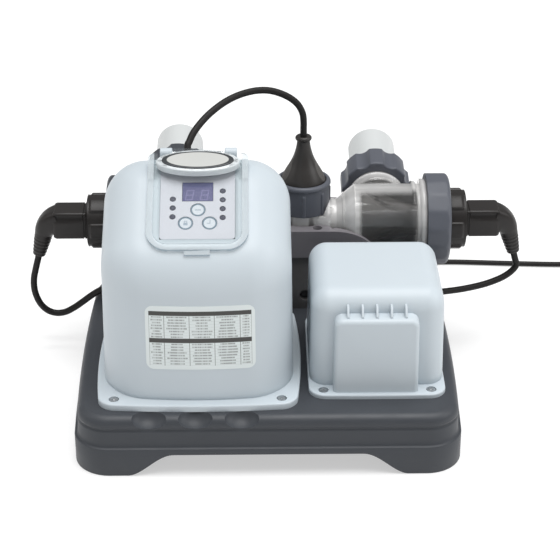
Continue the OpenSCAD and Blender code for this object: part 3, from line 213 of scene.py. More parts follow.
def filleted(corners, radius, count=6):
    """Closed line whose corners are arcs tangent to both neighbouring edges: each arc's centre lies on the corner's
    bisector, at the radius over the sine of the half angle."""
    corners = np.asarray(corners, float)
    before, after = unit(np.roll(corners, 1, 0) - corners), unit(np.roll(corners, -1, 0) - corners)
    half = np.arccos(np.clip((before * after).sum(1), -1, 1)) / 2
    bisector = unit(before + after)
    radius = np.broadcast_to(np.asarray(radius, float), half.shape)
    centre = corners + bisector * (radius / np.sin(half))[:, None]
    reach = (radius / np.tan(half))[:, None]
    first, last = corners + before * reach - centre, corners + after * reach - centre
    share = np.linspace(0, 1, count)[None, :, None]
    turn = (np.pi - 2 * half)[:, None, None]
    safe = np.maximum(np.sin(turn), 1e-9)
    ring = centre[:, None] + (np.sin((1 - share) * turn) * first[:, None] + np.sin(share * turn) * last[:, None]) / safe
    ring = ring.reshape(-1, 2)
    return np.vstack([ring, ring[:1]])


def outline(hw, hd, r, swell_x=0.0, swell_y=0.0, steps=14):
    """Closed rounded rectangle whose sides bulge: four quarter arcs and the straight runs between them, then each
    coordinate grows by its swell times one minus the square of the other coordinate's share."""
    signs = [(1, 1), (-1, 1), (-1, -1), (1, -1)]
    turns = [arc((sx * (hw - r), sy * (hd - r)), r, 90 * k, 90 * k + 90, steps) for k, (sx, sy) in enumerate(signs)]
    share = np.linspace(0, 1, steps + 2)[1:-1, None]
    runs = [turns[k][-1] + (turns[(k + 1) % 4][0] - turns[k][-1]) * share for k in range(4)]
    ring = np.vstack([part for pair in zip(turns, runs) for part in pair] + [turns[0][:1]])
    x, y = ring.T
    return np.stack([
        x * (1 + swell_x / hw * (1 - (y / hd) ** 2)),
        y * (1 + swell_y / hd * (1 - (x / hw) ** 2)),
    ], -1)


def level(ring, z):
    """Ring drawn in X and Y, lifted to a height."""
    return np.column_stack([ring, np.full(len(ring), z)])


def stacked(rings, capped=True):
    """Grid of rings one above the other. A capped stack starts and ends in the middle of its first and last ring."""
    rings = np.stack(rings)
    if not capped:
        return rings
    low = np.broadcast_to(rings[0].mean(0), rings[0].shape)
    high = np.broadcast_to(rings[-1].mean(0), rings[-1].shape)
    return np.concatenate([low[None], rings, high[None]])


def turned(profile, origin, axis, first, steps=96, reach=None, disc=None, wrap=None):
    """Surface of revolution: each profile point (height, radius) goes round the axis from the first direction.
    reach, a function of angle and height, limits the radius to make flats or grips. disc, a radius, gives the piece
    a UV map seen along the axis, and wrap, a length, one that runs round it and along it."""
    profile = np.asarray(profile, float)
    axis = unit(np.asarray(axis, float))
    first = unit(first - np.dot(first, axis) * axis)
    second = np.cross(axis, first)
    angle = np.linspace(0, 2 * np.pi, steps + 1)[None, :]
    height = profile[:, :1] + 0 * angle
    radius = profile[:, 1:] + 0 * angle
    if reach:
        radius = reach(angle + 0 * height, height, radius)
    across, along = radius * np.cos(angle), radius * np.sin(angle)
    grid = origin + height[..., None] * axis + across[..., None] * first + along[..., None] * second
    if disc:
        return grid, 0.5 + 0.5 * np.stack([across, along], -1) / disc, None
    if wrap:
        return grid, np.stack([angle / (2 * np.pi) + 0 * height, height / wrap], -1), None
    return grid


def eased(value, low, high):
    """Share from 0 at low to 1 at high, along a smooth S curve."""
    share = np.clip((value - low) / (high - low), 0, 1)
    return share * share * (3 - 2 * share)


def prism(loop, shift):
    """Closed solid between a flat loop of points and its copy moved by shift, both filled from their middle."""
    loop = np.asarray(loop, float)
    return stacked([loop, loop + np.asarray(shift, float)])


def plate(line, x, width):
    """Closed solid of a side view in Y and Z, carried across a width about a place along X."""
    return prism(np.column_stack([np.full(len(line), x - width / 2), line]), (width, 0, 0))


def rounding(radius, count, stop=90):
    """Steps round an edge, as pairs: how far each is drawn in from the side and how far it lies under the top."""
    turn = np.radians(np.linspace(0, stop, count))
    return list(zip(radius * (1 - np.cos(turn)), radius * (1 - np.sin(turn))))


def both_faces(count, front, back):
    """Columns of a thin sheet: shares from -1 to 1 over its front and back again behind it, and the lift of each."""
    share = np.concatenate([np.linspace(-1, 1, count), np.linspace(1, -1, count), [-1]])
    return share, np.concatenate([np.full(count, front), np.full(count, back), [front]])


def flowing(points, per_span=6):
    """Smooth path through points: on each span the cubic whose end slopes are half the chord between neighbours."""
    points = np.asarray(points, float)
    padded = np.vstack([2 * points[:1] - points[1:2], points, 2 * points[-1:] - points[-2:-1]])
    p0, p1, p2, p3 = padded[:-3, None], padded[1:-2, None], padded[2:-1, None], padded[3:, None]
    t = np.linspace(0, 1, per_span, endpoint=False)[None, :, None]
    span = 0.5 * (
        2 * p1 + (p2 - p0) * t + (2 * p0 - 5 * p1 + 4 * p2 - p3) * t ** 2 + (3 * p1 - p0 - 3 * p2 + p3) * t ** 3
    )
    return np.vstack([span.reshape(-1, 3), points[-1:]])


def swept(path, radius, reference, sides=14):
    """Round tube along a path: at each point a circle in the plane across the path, its start turned towards the
    reference direction, with both ends closed at the path. The UV map runs round and along the tube."""
    reference = np.asarray(reference, float)
    run = unit(np.gradient(path, axis=0))
    side = unit(reference - (run @ reference)[:, None] * run)
    other = np.cross(run, side)
    angle = np.linspace(0, 2 * np.pi, sides + 1)[None, :, None]
    tube = path[:, None] + radius * (np.cos(angle) * side[:, None] + np.sin(angle) * other[:, None])
    ends = [np.broadcast_to(path[i], (1,) + tube.shape[1:]) for i in (0, -1)]
    grid = np.concatenate([ends[0], tube, ends[1]])
    step = np.concatenate([[0, 0], np.cumsum(np.linalg.norm(np.diff(path, axis=0), axis=1)), [0]])
    step[-1] = step[-2]
    uv = np.stack([np.broadcast_to(angle[..., 0] / (2 * np.pi), grid.shape[:2]),
                   np.broadcast_to(step[:, None] / 100, grid.shape[:2])], -1)
    return grid, uv, None


# Finishes
def tint(r, g, b):
    """Linear colour of an sRGB colour given from 0 to 255."""
    share = np.array([r, g, b]) / 255
    linear = np.where(share <= 0.04045, share / 12.92, ((share + 0.055) / 1.055) ** 2.4)
    return (*linear.tolist(), 1.0)


class Finish:
    """Node tree of one material, with its shader."""

    def __init__(self, name, **sockets):
        self.material = bpy.data.materials.new(name)
        self.material.use_nodes = True
        self.tree = self.material.node_tree
        self.shader = self.tree.nodes["Principled BSDF"]
        for key, value in sockets.items():
            self.feed(self.shader.inputs[key.replace("_", " ")], value)

    def feed(self, socket, value):
        if isinstance(value, bpy.types.NodeSocket):
            self.tree.links.new(value, socket)
        else:
            socket.default_value = value

    def add(self, kind, sockets=(), **settings):
        made = self.tree.nodes.new(kind)
        for key, value in settings.items():
            setattr(made, key, value)
        for key, value in dict(sockets).items():
            self.feed(made.inputs[key], value)
        return made

    def where(self, kind="Object"):
        return self.add("ShaderNodeTexCoord").outputs[kind]

    def noise(self, scale, detail=2.0, stretch=(1, 1, 1)):
        spot = self.add("ShaderNodeMapping", {"Vector": self.where(), "Scale": stretch}).outputs["Vector"]
        return self.add("ShaderNodeTexNoise", {"Vector": spot, "Scale": scale, "Detail": detail}).outputs["Fac"]

    def math(self, operation, a, b=0.0, c=0.0, clamp=False):
        return self.add("ShaderNodeMath", {0: a, 1: b, 2: c}, operation=operation, use_clamp=clamp).outputs[0]

    def times(self, a, b):
        return self.math("MULTIPLY", a, b)

    def plus(self, a, b):
        return self.math("ADD", a, b)

    def less(self, a, b):
        return self.math("SUBTRACT", a, b)

    def scaled(self, value, factor, offset):
        return self.math("MULTIPLY_ADD", value, factor, offset)

    def vector(self, operation, a, b, output="Value"):
        return self.add("ShaderNodeVectorMath", {0: a, 1: b}, operation=operation).outputs[output]

    def parts(self, vector):
        return self.add("ShaderNodeSeparateXYZ", {0: vector}).outputs

    def between(self, value, low, high, soft=0.004):
        """One inside a band of values, with soft edges."""
        up = self.add("ShaderNodeMapRange", {"Value": value, "From Min": low - soft, "From Max": low + soft})
        down = self.add("ShaderNodeMapRange", {"Value": value, "From Min": high - soft, "From Max": high + soft})
        return self.math("SUBTRACT", up.outputs[0], down.outputs[0], clamp=True)

    def blend(self, share, low, high):
        mix = self.add("ShaderNodeMix", data_type="RGBA")
        for index, value in ((0, share), (6, low), (7, high)):
            self.feed(mix.inputs[index], value)
        return mix.outputs[2]

    def colour(self, value):
        self.feed(self.shader.inputs["Base Color"], value)
        return self

    def rough(self, value):
        self.feed(self.shader.inputs["Roughness"], value)
        return self

    def uneven(self, scale, span, low):
        """Roughness that wanders from low by up to the span."""
        return self.rough(self.scaled(self.noise(scale), span, low))

    def veiled(self, share, under):
        """Material whose own shader covers another by a share."""
        done = self.add("ShaderNodeMixShader", {0: share, 1: under.outputs[0], 2: self.shader.outputs[0]})
        self.feed(self.tree.nodes["Material Output"].inputs["Surface"], done.outputs[0])
        return self.material

    def bump(self, height, strength, distance=0.0002):
        made = self.add("ShaderNodeBump", {"Height": height, "Strength": strength, "Distance": distance})
        self.feed(self.shader.inputs["Normal"], made.outputs["Normal"])
        return self


def shade(colour, factor):
    """Colour made lighter or darker by a factor."""
    return (*[min(1.0, share * factor) for share in colour[:3]], 1.0)


def moulded(name, colour, roughness, mottle=0.05, grain=0.12, grain_scale=1400, shine=0.35, **sockets):
    """Moulded plastic: the colour and the gloss wander a little over centimetres, and a fine grain covers it."""
    finish = Finish(name, Specular_IOR_Level=shine, **sockets)
    finish.colour(finish.blend(finish.noise(22, 3), shade(colour, 1 - mottle), shade(colour, 1 + mottle)))
    return finish.uneven(60, 0.16, roughness - 0.08).bump(finish.noise(grain_scale), grain).material


def metal(name, colour, roughness, stretch=(1, 1, 1)):
    """Metal with fine drawn lines along the stretched axis."""
    finish = Finish(name, Metallic=1.0)
    lines = finish.noise(500, 2, stretch)
    finish.colour(finish.blend(lines, shade(colour, 0.86), shade(colour, 1.1)))
    finish.rough(finish.scaled(lines, 0.2, roughness - 0.1))
    return finish.bump(lines, 0.08).material


POLISHED = [(97, 156), (-131, -72)]
POLISHED_BACK, STRIP_HW = 136, 12
LID_WINDOW_HW, LID_WINDOW_LOW = 27.5, -57
LID_RIM, LID_WALL = 14.2, 13.6


def clear_acrylic():
    """Clear moulding of the manifold: light goes straight through, apart from a haze and a gloss that grows towards
    grazing angles. The haze is partly the moulding's milkiness and partly painted light, a white diffuse share that
    brightens the walls as if light were bent and reflected inside them. Flow marks of the moulding make both uneven.
    Stretches along X, listed as polished, have little haze, apart from a strip on top of them, over the manifold's
    axis, whose haze is a painted bright band over the casing."""
    finish = Finish("clear_plastic", Metallic=1.0)
    colour = tint(250, 249, 248)
    flow = finish.noise(45, 3, (0.3, 1, 1))
    finish.colour(finish.blend(flow, shade(colour, 0.95), colour))
    finish.rough(finish.scaled(flow, 0.1, 0.05)).bump(flow, 0.02)
    x, y, z = finish.parts(finish.where())
    # Strip over the axis that keeps its haze: a painted bright band along the top of the chamber.
    strip = finish.times(finish.between(y, (AXIS_Y - STRIP_HW) * MM, (AXIS_Y + STRIP_HW) * MM),
                         finish.between(z, AXIS_Z * MM, 1))
    # White haze share: the moulding's milkiness together with painted light that brightens the walls.
    haze_and_painted_light = finish.scaled(flow, 0.5, 0.25)
    for low, high in POLISHED:
        barrel = finish.times(finish.between(x, low * MM, high * MM, 0.002), finish.between(y, 0, POLISHED_BACK * MM))
        haze_and_painted_light = finish.times(haze_and_painted_light, finish.scaled(finish.times(barrel, finish.less(1.0, strip)), -0.88, 1.0))
    through = finish.add("ShaderNodeBsdfTransparent", {"Color": shade(colour, 1.08)})
    mist_and_painted_light = finish.add("ShaderNodeBsdfDiffuse", {"Color": colour})
    core = finish.add("ShaderNodeMixShader", {0: haze_and_painted_light, 1: through.outputs[0], 2: mist_and_painted_light.outputs[0]})
    return finish.veiled(finish.add("ShaderNodeFresnel", {"IOR": 1.47}).outputs[0], core)


def lid_acrylic():
    """Clear moulding of the lid: light goes straight through its window, its rim, found by the distance from the
    rounded window in the plane of the panel, is slightly frosted, and its side walls carry painted shade: a darker
    blue-grey colour and less transparency, where walls of clear plastic seen on edge look dark."""
    finish = Finish("lid_clear_plastic", Specular_IOR_Level=0.3)
    facing = finish.vector("DOT_PRODUCT", finish.where("Normal"), PANEL_OUT.tolist())
    spot = finish.vector("SUBTRACT", finish.where(), (PANEL_TOP * MM).tolist(), "Vector")
    rise = finish.vector("DOT_PRODUCT", spot, PANEL_ACROSS.tolist())
    aside = finish.math("ABSOLUTE", finish.parts(spot)[0])
    off_x = finish.math("MAXIMUM", finish.less(aside, LID_WINDOW_HW * MM), 0.0)
    off_v = finish.math("MAXIMUM", finish.less(LID_WINDOW_LOW * MM, rise), 0.0)
    off = finish.math("SQRT", finish.plus(finish.math("POWER", off_x, 2.0), finish.math("POWER", off_v, 2.0)))
    # Side walls, whose normal lies across the panel's, get painted shade.
    wall = finish.between(finish.math("ABSOLUTE", facing), -1, 0.72, 0.06)
    wall = finish.times(wall, finish.between(off, LID_WALL * MM, 1, 0.2 * MM))
    wall = finish.times(wall, finish.less(1.0, finish.between(rise, 0.2 * MM, 2 * MM, 0.3 * MM)))
    flow = finish.noise(45, 3, (0.3, 1, 1))
    clear = finish.blend(flow, tint(214, 222, 227), tint(222, 229, 233))
    # The side walls take a darker painted-shade colour and, below, less see-through.
    finish.colour(finish.blend(wall, clear, tint(140, 156, 168))).rough(finish.scaled(flow, 0.1, 0.3))
    share = finish.scaled(finish.between(off, LID_RIM * MM, 1, 0.3 * MM), 0.32, finish.scaled(flow, 0.05, 0.02))
    share = finish.math("MAXIMUM", share, finish.times(wall, 0.6))
    return finish.veiled(share, finish.add("ShaderNodeBsdfTransparent", {"Color": tint(251, 252, 252)}))


SLATE = moulded("slate_plastic", tint(61, 64, 69), 0.46, grain=0.16)
PALE = moulded("pale_plastic", tint(194, 203, 209), 0.4, 0.018, 0.05)
GREY = moulded("grey_plastic", tint(85, 88, 96), 0.42, grain=0.1)
# Lighter copy of the base's slate plastic for its posts and pedestal: painted light, as if a front light fell on them.
LIT_SLATE = moulded("lit_slate_plastic", tint(92, 90, 90), 0.45, grain=0.16)
CRADLE = moulded("cradle_plastic", tint(112, 109, 113), 0.36, grain=0.08, shine=0.5)
# Darker copy of the grey plastic for the left collar and left union nut, which sit further back: painted shade.
SHADE_GREY = moulded("shaded_grey_plastic", tint(60, 63, 69), 0.42, grain=0.1)
BLACK = moulded("black_plastic", tint(34, 31, 30), 0.42, 0.1)
GLOSS_BLACK = moulded("gloss_black_plastic", tint(34, 34, 35), 0.34, 0.1, 0.0, shine=1.0, Coat_Weight=1.0,
                      Coat_Roughness=0.3)
RUBBER = moulded("black_rubber", tint(23, 21, 20), 0.55, 0.12, 0.2, 2200, 0.3)
WHITE = moulded("white_plastic", tint(203, 206, 206), 0.4, 0.015, 0.05, shine=0.3)
KEYPAD = moulded("keypad_plastic", tint(206, 206, 213), 0.5, 0.012, 0.1, 2600, 0.25)
LAMP = moulded("lamp_plastic", tint(54, 52, 72), 0.5, 0.08, 0.0, shine=0.25)
BOARD = moulded("board_plastic", tint(34, 88, 56), 0.4, 0.15, shine=0.5)
CLEAR = clear_acrylic()
LID_CLEAR = lid_acrylic()
FROSTED = moulded("frosted_plastic", tint(214, 219, 222), 0.3, 0.02, 0.08, shine=0.5, Coat_Weight=0.3)
STEEL = metal("steel", tint(206, 207, 208), 0.3)
CORE_STEEL = metal("core_steel", tint(120, 122, 126), 0.4, (1, 40, 1))
COPPER = metal("copper", tint(190, 112, 70), 0.3, (1, 1, 30))
ELECTRODE = metal("electrode_metal", tint(92, 90, 92), 0.45)
BRASS = metal("brass", tint(200, 170, 100), 0.28)

# Finish of each CAD node that is not a cable
KEPT = {node: finish for finish, nodes in (
    (SLATE, "base_tray"), (PALE, "control_housing power_cover"), (KEYPAD, "keypad_plate"), (BOARD, "control_board"),
    (WHITE, "boost_button lock_button timer_button lid_badge flow_paddle right_hose_cuff left_hose_cuff"),
    (BLACK, "display_module cell_head cell_lock_ring cell_plug ioniser_head ioniser_lock_ring ioniser_plug"),
    (BLACK, "sensor_body cell_gland ioniser_gland sensor_gland mains_gland mains_plug"),
    (STEEL, "tact_switches lid_hinge_pin control_screws power_screws transformer_bracket cradle_screws paddle_pin"),
    (GREY, "cell_collar ioniser_collar sensor_collar right_hose_nut left_hose_nut coil_tie"),
    (RUBBER, "cell_seal ioniser_seal sensor_seal hose_seals"), (LAMP, "display_lens indicator_lamps"),
    (LID_CLEAR, "keypad_lid"), (CLEAR, "manifold_body"), (CRADLE, "manifold_cradle"), (BRASS, "plug_pins"),
    (GLOSS_BLACK, "cell_casing ioniser_casing"), (COPPER, "transformer_winding ioniser_rods"),
    (CORE_STEEL, "transformer_core"), (ELECTRODE, "electrode_plates"),
) for node in nodes.split()}
for kept, finish in KEPT.items():
    mesh = frame["nodes"][kept].data
    mesh.materials.clear()
    mesh.materials.append(finish)


# Cables and the mains cord
CABLE_D = 7
MAINS_D = 6
CELL_ROUTE = [
    (261.8, 103, 109), (263.87, 103, 101.27), (265.8, 102.4, 92.5), (261, 100.8, 86), (253, 98.4, 81),
    (243, 95.4, 77.6), (232, 92.2, 75.2), (220, 88.8, 73.8), (208, 85.2, 73.2), (196, 81.4, 73.4), (184.5, 77, 74.4),
    (174, 71.5, 76.2), (165, 65, 78.6), (157.6, 57.6, 80.8), (154.5, 51.5, 81.5), (154.5, 43.5, 81.5),
]
IONISER_ROUTE = [
    (-240.2, 103, 109), (-242.27, 103, 101.27), (-245, 103, 91), (-247.5, 103, 80), (-248, 103, 68.5),
    (-246, 103, 57.5), (-241.5, 103, 47.5), (-234.5, 103, 40.5), (-225.5, 103, 37.5), (-216, 103, 39),
    (-206.5, 102.5, 44.5), (-197, 101.5, 52), (-187, 100, 60.5), (-177, 97.5, 68), (-166, 93, 73.5),
    (-154.5, 87, 77), (-144, 79, 79.5), (-135.8, 70, 81), (-132, 65, 81.5), (-132, 57, 81.5),
]
SENSOR_ROUTE = [
    (38.5, 103, 243.3), (38.5, 103, 251.3), (38.5, 103, 258), (37.4, 103, 267.5), (32.8, 103, 276.8), (25, 103, 284),
    (15, 103, 289.2), (4, 101.8, 292.8), (-7.5, 98.5, 294.4), (-19, 93, 294.4), (-30, 86, 293.2),
    (-40.5, 77.5, 290.8), (-50, 68, 287.4), (-58.5, 59, 283), (-66, 50, 277.6), (-71.8, 42, 272),
    (-75.6, 35.4, 265.8), (-77, 32.65, 263.6), (-77, 28.34, 258.09),
]
LEAD_ROUTE = [
    (60, 178, 42), (60, 186, 42), (60.3, 196, 39), (61.5, 206, 33.5), (64, 216, 26), (68, 226, 18.2), (74, 236, 11.2),
    (82.5, 245.5, 6), (94, 254.5, 3.6), (108, 262.5, 3.2), (124, 269, 3.2), (142, 274.5, 3.2), (161, 278.5, 3.2),
    (181, 281, 3.2), (202, 282.3, 3.2), (224, 282.2, 3.2), (246, 280.8, 3.2), (268, 279.1, 3.2), (290, 277.5, 3.2),
    (312, 276, 3.2), (334, 274.8, 3.2), (356, 274, 3.4), (374, 273.6, 3.9), (390, 273.5, 4.3), (398, 273.5, 4.3),
]
COIL_CENTRE = (404, 227.5)
COIL_R, COIL_PITCH, COIL_LOW = 46, 6.7, 4.3
TURNS_IN, TURNS_UP, TURNS_OUT = 3, 0.5, 2.75
TAIL_STEPS = [
    (0, 0, 0), (0, -8, 0), (0, -18, -0.6), (0, -30, -1.4), (0, -42, -1.6), (0, -54, -1), (0, -64, 0.3), (0, -73, 1),
    (0, -81, 1),
]


def coil_path(per_turn=48):
    """Flat spiral in, half a turn that climbs one layer by half a cosine wave, and a flat spiral out on top."""
    turn = np.arange((TURNS_IN + TURNS_UP + TURNS_OUT) * per_turn + 1) / per_turn
    inward = COIL_R - COIL_PITCH * np.minimum(turn, TURNS_IN)
    radius = inward + COIL_PITCH * np.maximum(turn - TURNS_IN - TURNS_UP, 0)
    climb = np.clip((turn - TURNS_IN) / TURNS_UP, 0, 1)
    return np.stack([
        COIL_CENTRE[0] + radius * np.sin(2 * np.pi * turn),
        COIL_CENTRE[1] + radius * np.cos(2 * np.pi * turn),
        COIL_LOW + COIL_PITCH * (1 - np.cos(np.pi * climb)) / 2,
    ], -1)


def cable(name, path, diameter, reference, nodes):
    """Round cable along a path."""
    made = piece(name, [swept(path, diameter / 2, reference)], RUBBER, nodes, 50)


for end, route, reference in (("cell", CELL_ROUTE, (0.3, -0.5, 0.8)), ("ioniser", IONISER_ROUTE, (-0.3, -0.5, 0.8)),
                              ("sensor", SENSOR_ROUTE, (0.4, -0.8, 0.45))):
    cable(end + "_cord", flowing(route), CABLE_D, reference, end + "_cable")
plug_set = [softened_edges(smoothed("mains_plug"), 2.2, 3), softened_edges(smoothed("plug_pins", 40), 0.8),
            softened_edges(smoothed("coil_tie"), 0.3)]
spiral = coil_path()
coil_end = spiral[-1] + np.array([0, -MAINS_D, 0])
mains_path = np.vstack([flowing(LEAD_ROUTE), spiral, flowing(coil_end + np.array(TAIL_STEPS, float))])
cable("mains_cord", mains_path, MAINS_D, Z_AXIS, "mains_lead mains_coil mains_tail")


# Control unit
def tangent_centre(y, radius, normal):
    """Centre of an arc at a given Y whose tangent line, with this normal, also touches the crest arc."""
    return np.array([y, CREST_C[1] + (CREST_R - radius - normal[1] * (y - CREST_C[0])) / normal[2]])


FRONT_C = tangent_centre(CONTROL_FRONT + FRONT_R, FRONT_R, PANEL_OUT)
BACK_C = tangent_centre(CONTROL_BACK - BACK_R, BACK_R, BACK_OUT)
PLATE_W, PLATE_LEN, PLATE_TOP, SEAT_GAP = 70, 67, 3, 0.2
SHELL_WALL, FLANGE_T, POWER_FLANGE_T = 2.5, 6.5, 4.5
RECESS_R, RECESS_DEPTH = 5, 3


def on_panel(points):
    """Points of the sloping panel, given across it, up its slope and out of it."""
    return PANEL_TOP + np.asarray(points, float) @ np.stack([X_AXIS, PANEL_ACROSS, PANEL_OUT])


def arc_rows(centre, radius, start, stop, count, share=0.0):
    """Rows of a side profile on an arc: centre, radius, direction and share of the front shift."""
    angle = np.radians(np.linspace(start, stop, count))
    one = np.ones(count)
    return np.stack([centre[0] * one, centre[1] * one, radius * one, np.cos(angle), np.sin(angle), share * one], -1)


def flat_rows(y, z, out_y, out_z, share=0.0):
    """Rows of a side profile on a straight run, which is drawn in against its outward direction."""
    y, z, share = np.broadcast_arrays(np.asarray(y, float), np.asarray(z, float), np.asarray(share, float))
    one = np.ones(len(y))
    return np.stack([y, z, 0 * one, out_y * one, out_z * one, share], -1)


def stations(hw, r, middle, count=18):
    """Places across a cover, and how far the side profile is drawn in there: a quarter circle at each side."""
    phi = np.linspace(0, np.pi / 2, count)
    x, drawn = hw - r + r * np.sin(phi), r * (1 - np.cos(phi))
    middle = np.asarray(middle, float)
    return np.concatenate([-x[::-1], middle, x]), np.concatenate([drawn[::-1], 0 * middle, drawn])


def profile_points(rows, drawn):
    """Y, Z and front share of every row at every station: centre plus radius less the drawn-in depth, along the
    row's direction."""
    y, z, radius, out_y, out_z, share = (rows[:, i, None] for i in range(6))
    return y + (radius - drawn) * out_y, z + (radius - drawn) * out_z, share + 0 * drawn


def sided(grid, hw_point):
    """Grid of a cover with its two flat sides added, each filled from one point on the deck line."""
    left = np.broadcast_to(hw_point(-1), (len(grid), 1, 3))
    right = np.broadcast_to(hw_point(1), (len(grid), 1, 3))
    return np.concatenate([left, grid, right], 1)


def control_skin():
    """Control housing: side profile of back wall, three arcs with straight tangents and front wall, carried across
    the width, drawn in at the sides by a quarter circle, narrowed upwards and bowed forward in the middle. The
    keypad's opening is left out of the grid."""
    edge = np.array([-1, 1]) * (PLATE_W / 2 + SEAT_GAP)
    seat_left, seat_right = -34, 38
    middle = np.concatenate([np.arange(-46, seat_left + 1, 4), np.linspace(-30, 34, 11), np.arange(seat_right, 47, 4)])
    x, drawn = stations(CONTROL_HW, SIDE_R, middle, 22)
    crest_end = 90 + PANEL_SLOPE - math.degrees(math.asin((PLATE_TOP + SEAT_GAP) / CREST_R))
    plate_v = np.linspace(0, PLATE_TOP - PLATE_LEN - SEAT_GAP, 9)
    panel = PANEL_TOP + plate_v[:, None] * PANEL_ACROSS
    upper = np.vstack([
        flat_rows(CONTROL_BACK, np.linspace(DECK, BACK_C[1], 10)[:-1], 1, 0),
        arc_rows(BACK_C, BACK_R, 0, 90 - BACK_SLOPE, 16),
        arc_rows(CREST_C, CREST_R, 90 - BACK_SLOPE, crest_end, 22),
    ])
    rows = np.vstack([
        upper,
        flat_rows(panel[:, 1], panel[:, 2], PANEL_OUT[1], PANEL_OUT[2]),
        arc_rows(FRONT_C, FRONT_R, 90 + PANEL_SLOPE, 180, 22, np.linspace(0, 1, 22)),
        flat_rows(CONTROL_FRONT, np.linspace(FRONT_C[1], DECK, 12)[1:], -1, 0, 1.0),
    ])
    y, z, share = profile_points(rows, drawn[None, :])
    narrow = 1 - SIDE_DRAFT * (z - DECK) / CONTROL_HW
    across = np.broadcast_to(x, z.shape).copy()
    columns = np.searchsorted(x, (seat_left, seat_right))
    across[:, columns] = (PANEL_X + edge - CONTROL_X) / narrow[:, columns]
    grid = np.stack([CONTROL_X + across * narrow, y + FRONT_BOW * (across / CONTROL_HW) ** 2 * share, z], -1)
    grid = sided(grid, lambda s: (CONTROL_X + s * CONTROL_HW, (CONTROL_FRONT + CONTROL_BACK) / 2, DECK))
    first = len(upper) - 1
    return grid, None, (first, first + len(plate_v), columns[0] + 1, columns[1] + 1)


def foot_ring(x, drawn, front, back, bow, hw, centre_x):
    """Outline of a cover on the deck: its front line, right side, back line and left side."""
    back_line = np.stack([centre_x + x, back - drawn], -1)
    front_line = np.stack([centre_x + x, front + drawn + bow * (x / hw) ** 2], -1)
    share = np.linspace(0, 1, 20)[1:-1, None]
    right = front_line[-1] + (back_line[-1] - front_line[-1]) * share
    left = back_line[0] + (front_line[0] - back_line[0]) * share
    return np.vstack([front_line, right, back_line[::-1], left])


def flange(ring, foot, thickness, edge=1.6, inside=2.0):
    """Flange round a cover: the outer ring rises to a rounded edge, and the top runs in to the cover's foot, found
    on the same bearing from the middle and moved in by the wall."""
    middle = (ring.max(0) + ring.min(0)) / 2
    out = ring - middle
    bearing = np.arctan2(out[:, 1], out[:, 0])
    foot_out = foot - middle
    reach = np.interp(bearing, *np.array(sorted(zip(np.arctan2(foot_out[:, 1], foot_out[:, 0]),
                                                    np.hypot(*foot_out.T)))).T, period=2 * np.pi)
    far = np.hypot(*out.T)
    near = np.minimum(reach, far - 1) - inside
    lines = [(near, DECK), (far, DECK)]
    lines += [(far - drawn, DECK + thickness - under) for drawn, under in rounding(edge, 6)]
    lines += [(near, DECK + thickness), (near, DECK)]
    return np.stack([level(middle + (r / far)[:, None] * out, z) for r, z in lines])


def drum(centre, radius, low, high, steps=48):
    """Upright closed cylinder."""
    return turned([(low, 0), (low, radius), (high, radius), (high, 0)], np.array([*centre, 0.0]), Z_AXIS, X_AXIS, steps)


def cover_rim(name, node, ring, foot, thickness, screws):
    """Flange of a cover, with a round recess at each screw."""
    low = DECK + thickness - RECESS_DEPTH
    carve(piece(name, [flange(ring, foot, thickness)], PALE, node),
          [drum(at, RECESS_R, low, low + 12) for at in screws])


walled(piece("control_shell", [control_skin()], PALE, "control_housing", solid=False), SHELL_WALL)
control_foot = foot_ring(*stations(CONTROL_HW, SIDE_R, np.linspace(-48, 48, 25)), CONTROL_FRONT, CONTROL_BACK,
                         FRONT_BOW, CONTROL_HW, CONTROL_X)
RIM_HW, RIM_FRONT, RIM_BACK = CONTROL_HW + 2, CONTROL_FRONT - 6, CONTROL_BACK + 10
control_ring = outline(RIM_HW, (RIM_BACK - RIM_FRONT) / 2, 14, 6, 4.5, 26) + [CONTROL_X, (RIM_FRONT + RIM_BACK) / 2]
cover_rim("control_rim", "control_housing", control_ring, control_foot, FLANGE_T,
          [(CONTROL_X + s * (RIM_HW - 14), y) for s in (-1, 1) for y in (RIM_FRONT + 9, RIM_BACK - 10)])

HINGE_A, HINGE_RISE, KNUCKLE_R, KNUCKLE_W, KNUCKLE_DX = 78, 8, 5, 11.6, 31
HINGE_OUT = np.array([math.cos(math.radians(HINGE_A)), math.sin(math.radians(HINGE_A))])
HINGE_AT = CREST_C + (CREST_R + HINGE_RISE) * HINGE_OUT


def knuckle(x):
    """Hinge knuckle: a round eye on a post, drawn in Y and Z and carried across its width."""
    aside = np.array([-HINGE_OUT[1], HINGE_OUT[0]])
    foot = HINGE_AT - (HINGE_RISE + 1.8) * HINGE_OUT
    eye = arc(HINGE_AT, KNUCKLE_R, HINGE_A - 100, HINGE_A + 100, 28)
    line = np.vstack([foot - 4.4 * aside, eye, foot + 4.4 * aside, foot - 4.4 * aside])
    return plate(line, PANEL_X + x, KNUCKLE_W)


softened_edges(piece("hinge_knuckles", [knuckle(-KNUCKLE_DX), knuckle(KNUCKLE_DX)], PALE, "control_housing"), 0.8)


def boss(at, out, radius, depth, edge=0.8):
    """Round pad on a wall, with a rounded rim."""
    rim = arc((-edge, radius - edge), edge, 90, 0, 5)
    return turned(np.vstack([[(-depth, 0), (-depth, radius)], rim, [(0, 0)]]), np.array(at, float), out,
                  X_AXIS, 48)


ION_GLAND = (CONTROL_X - 65, CONTROL_BACK + 1, GLAND_Z)
SENSOR_GLAND = (CONTROL_X - 10, *(CREST_C + (CREST_R + 1) * BACK_OUT[1:] + 14 * np.array([BACK_OUT[2], -BACK_OUT[1]])))
piece("cable_pads", [boss(ION_GLAND, Y_AXIS, GLAND_PAD_R, 8), boss(SENSOR_GLAND, BACK_OUT, GLAND_PAD_R, 5)], PALE,
      "control_housing")


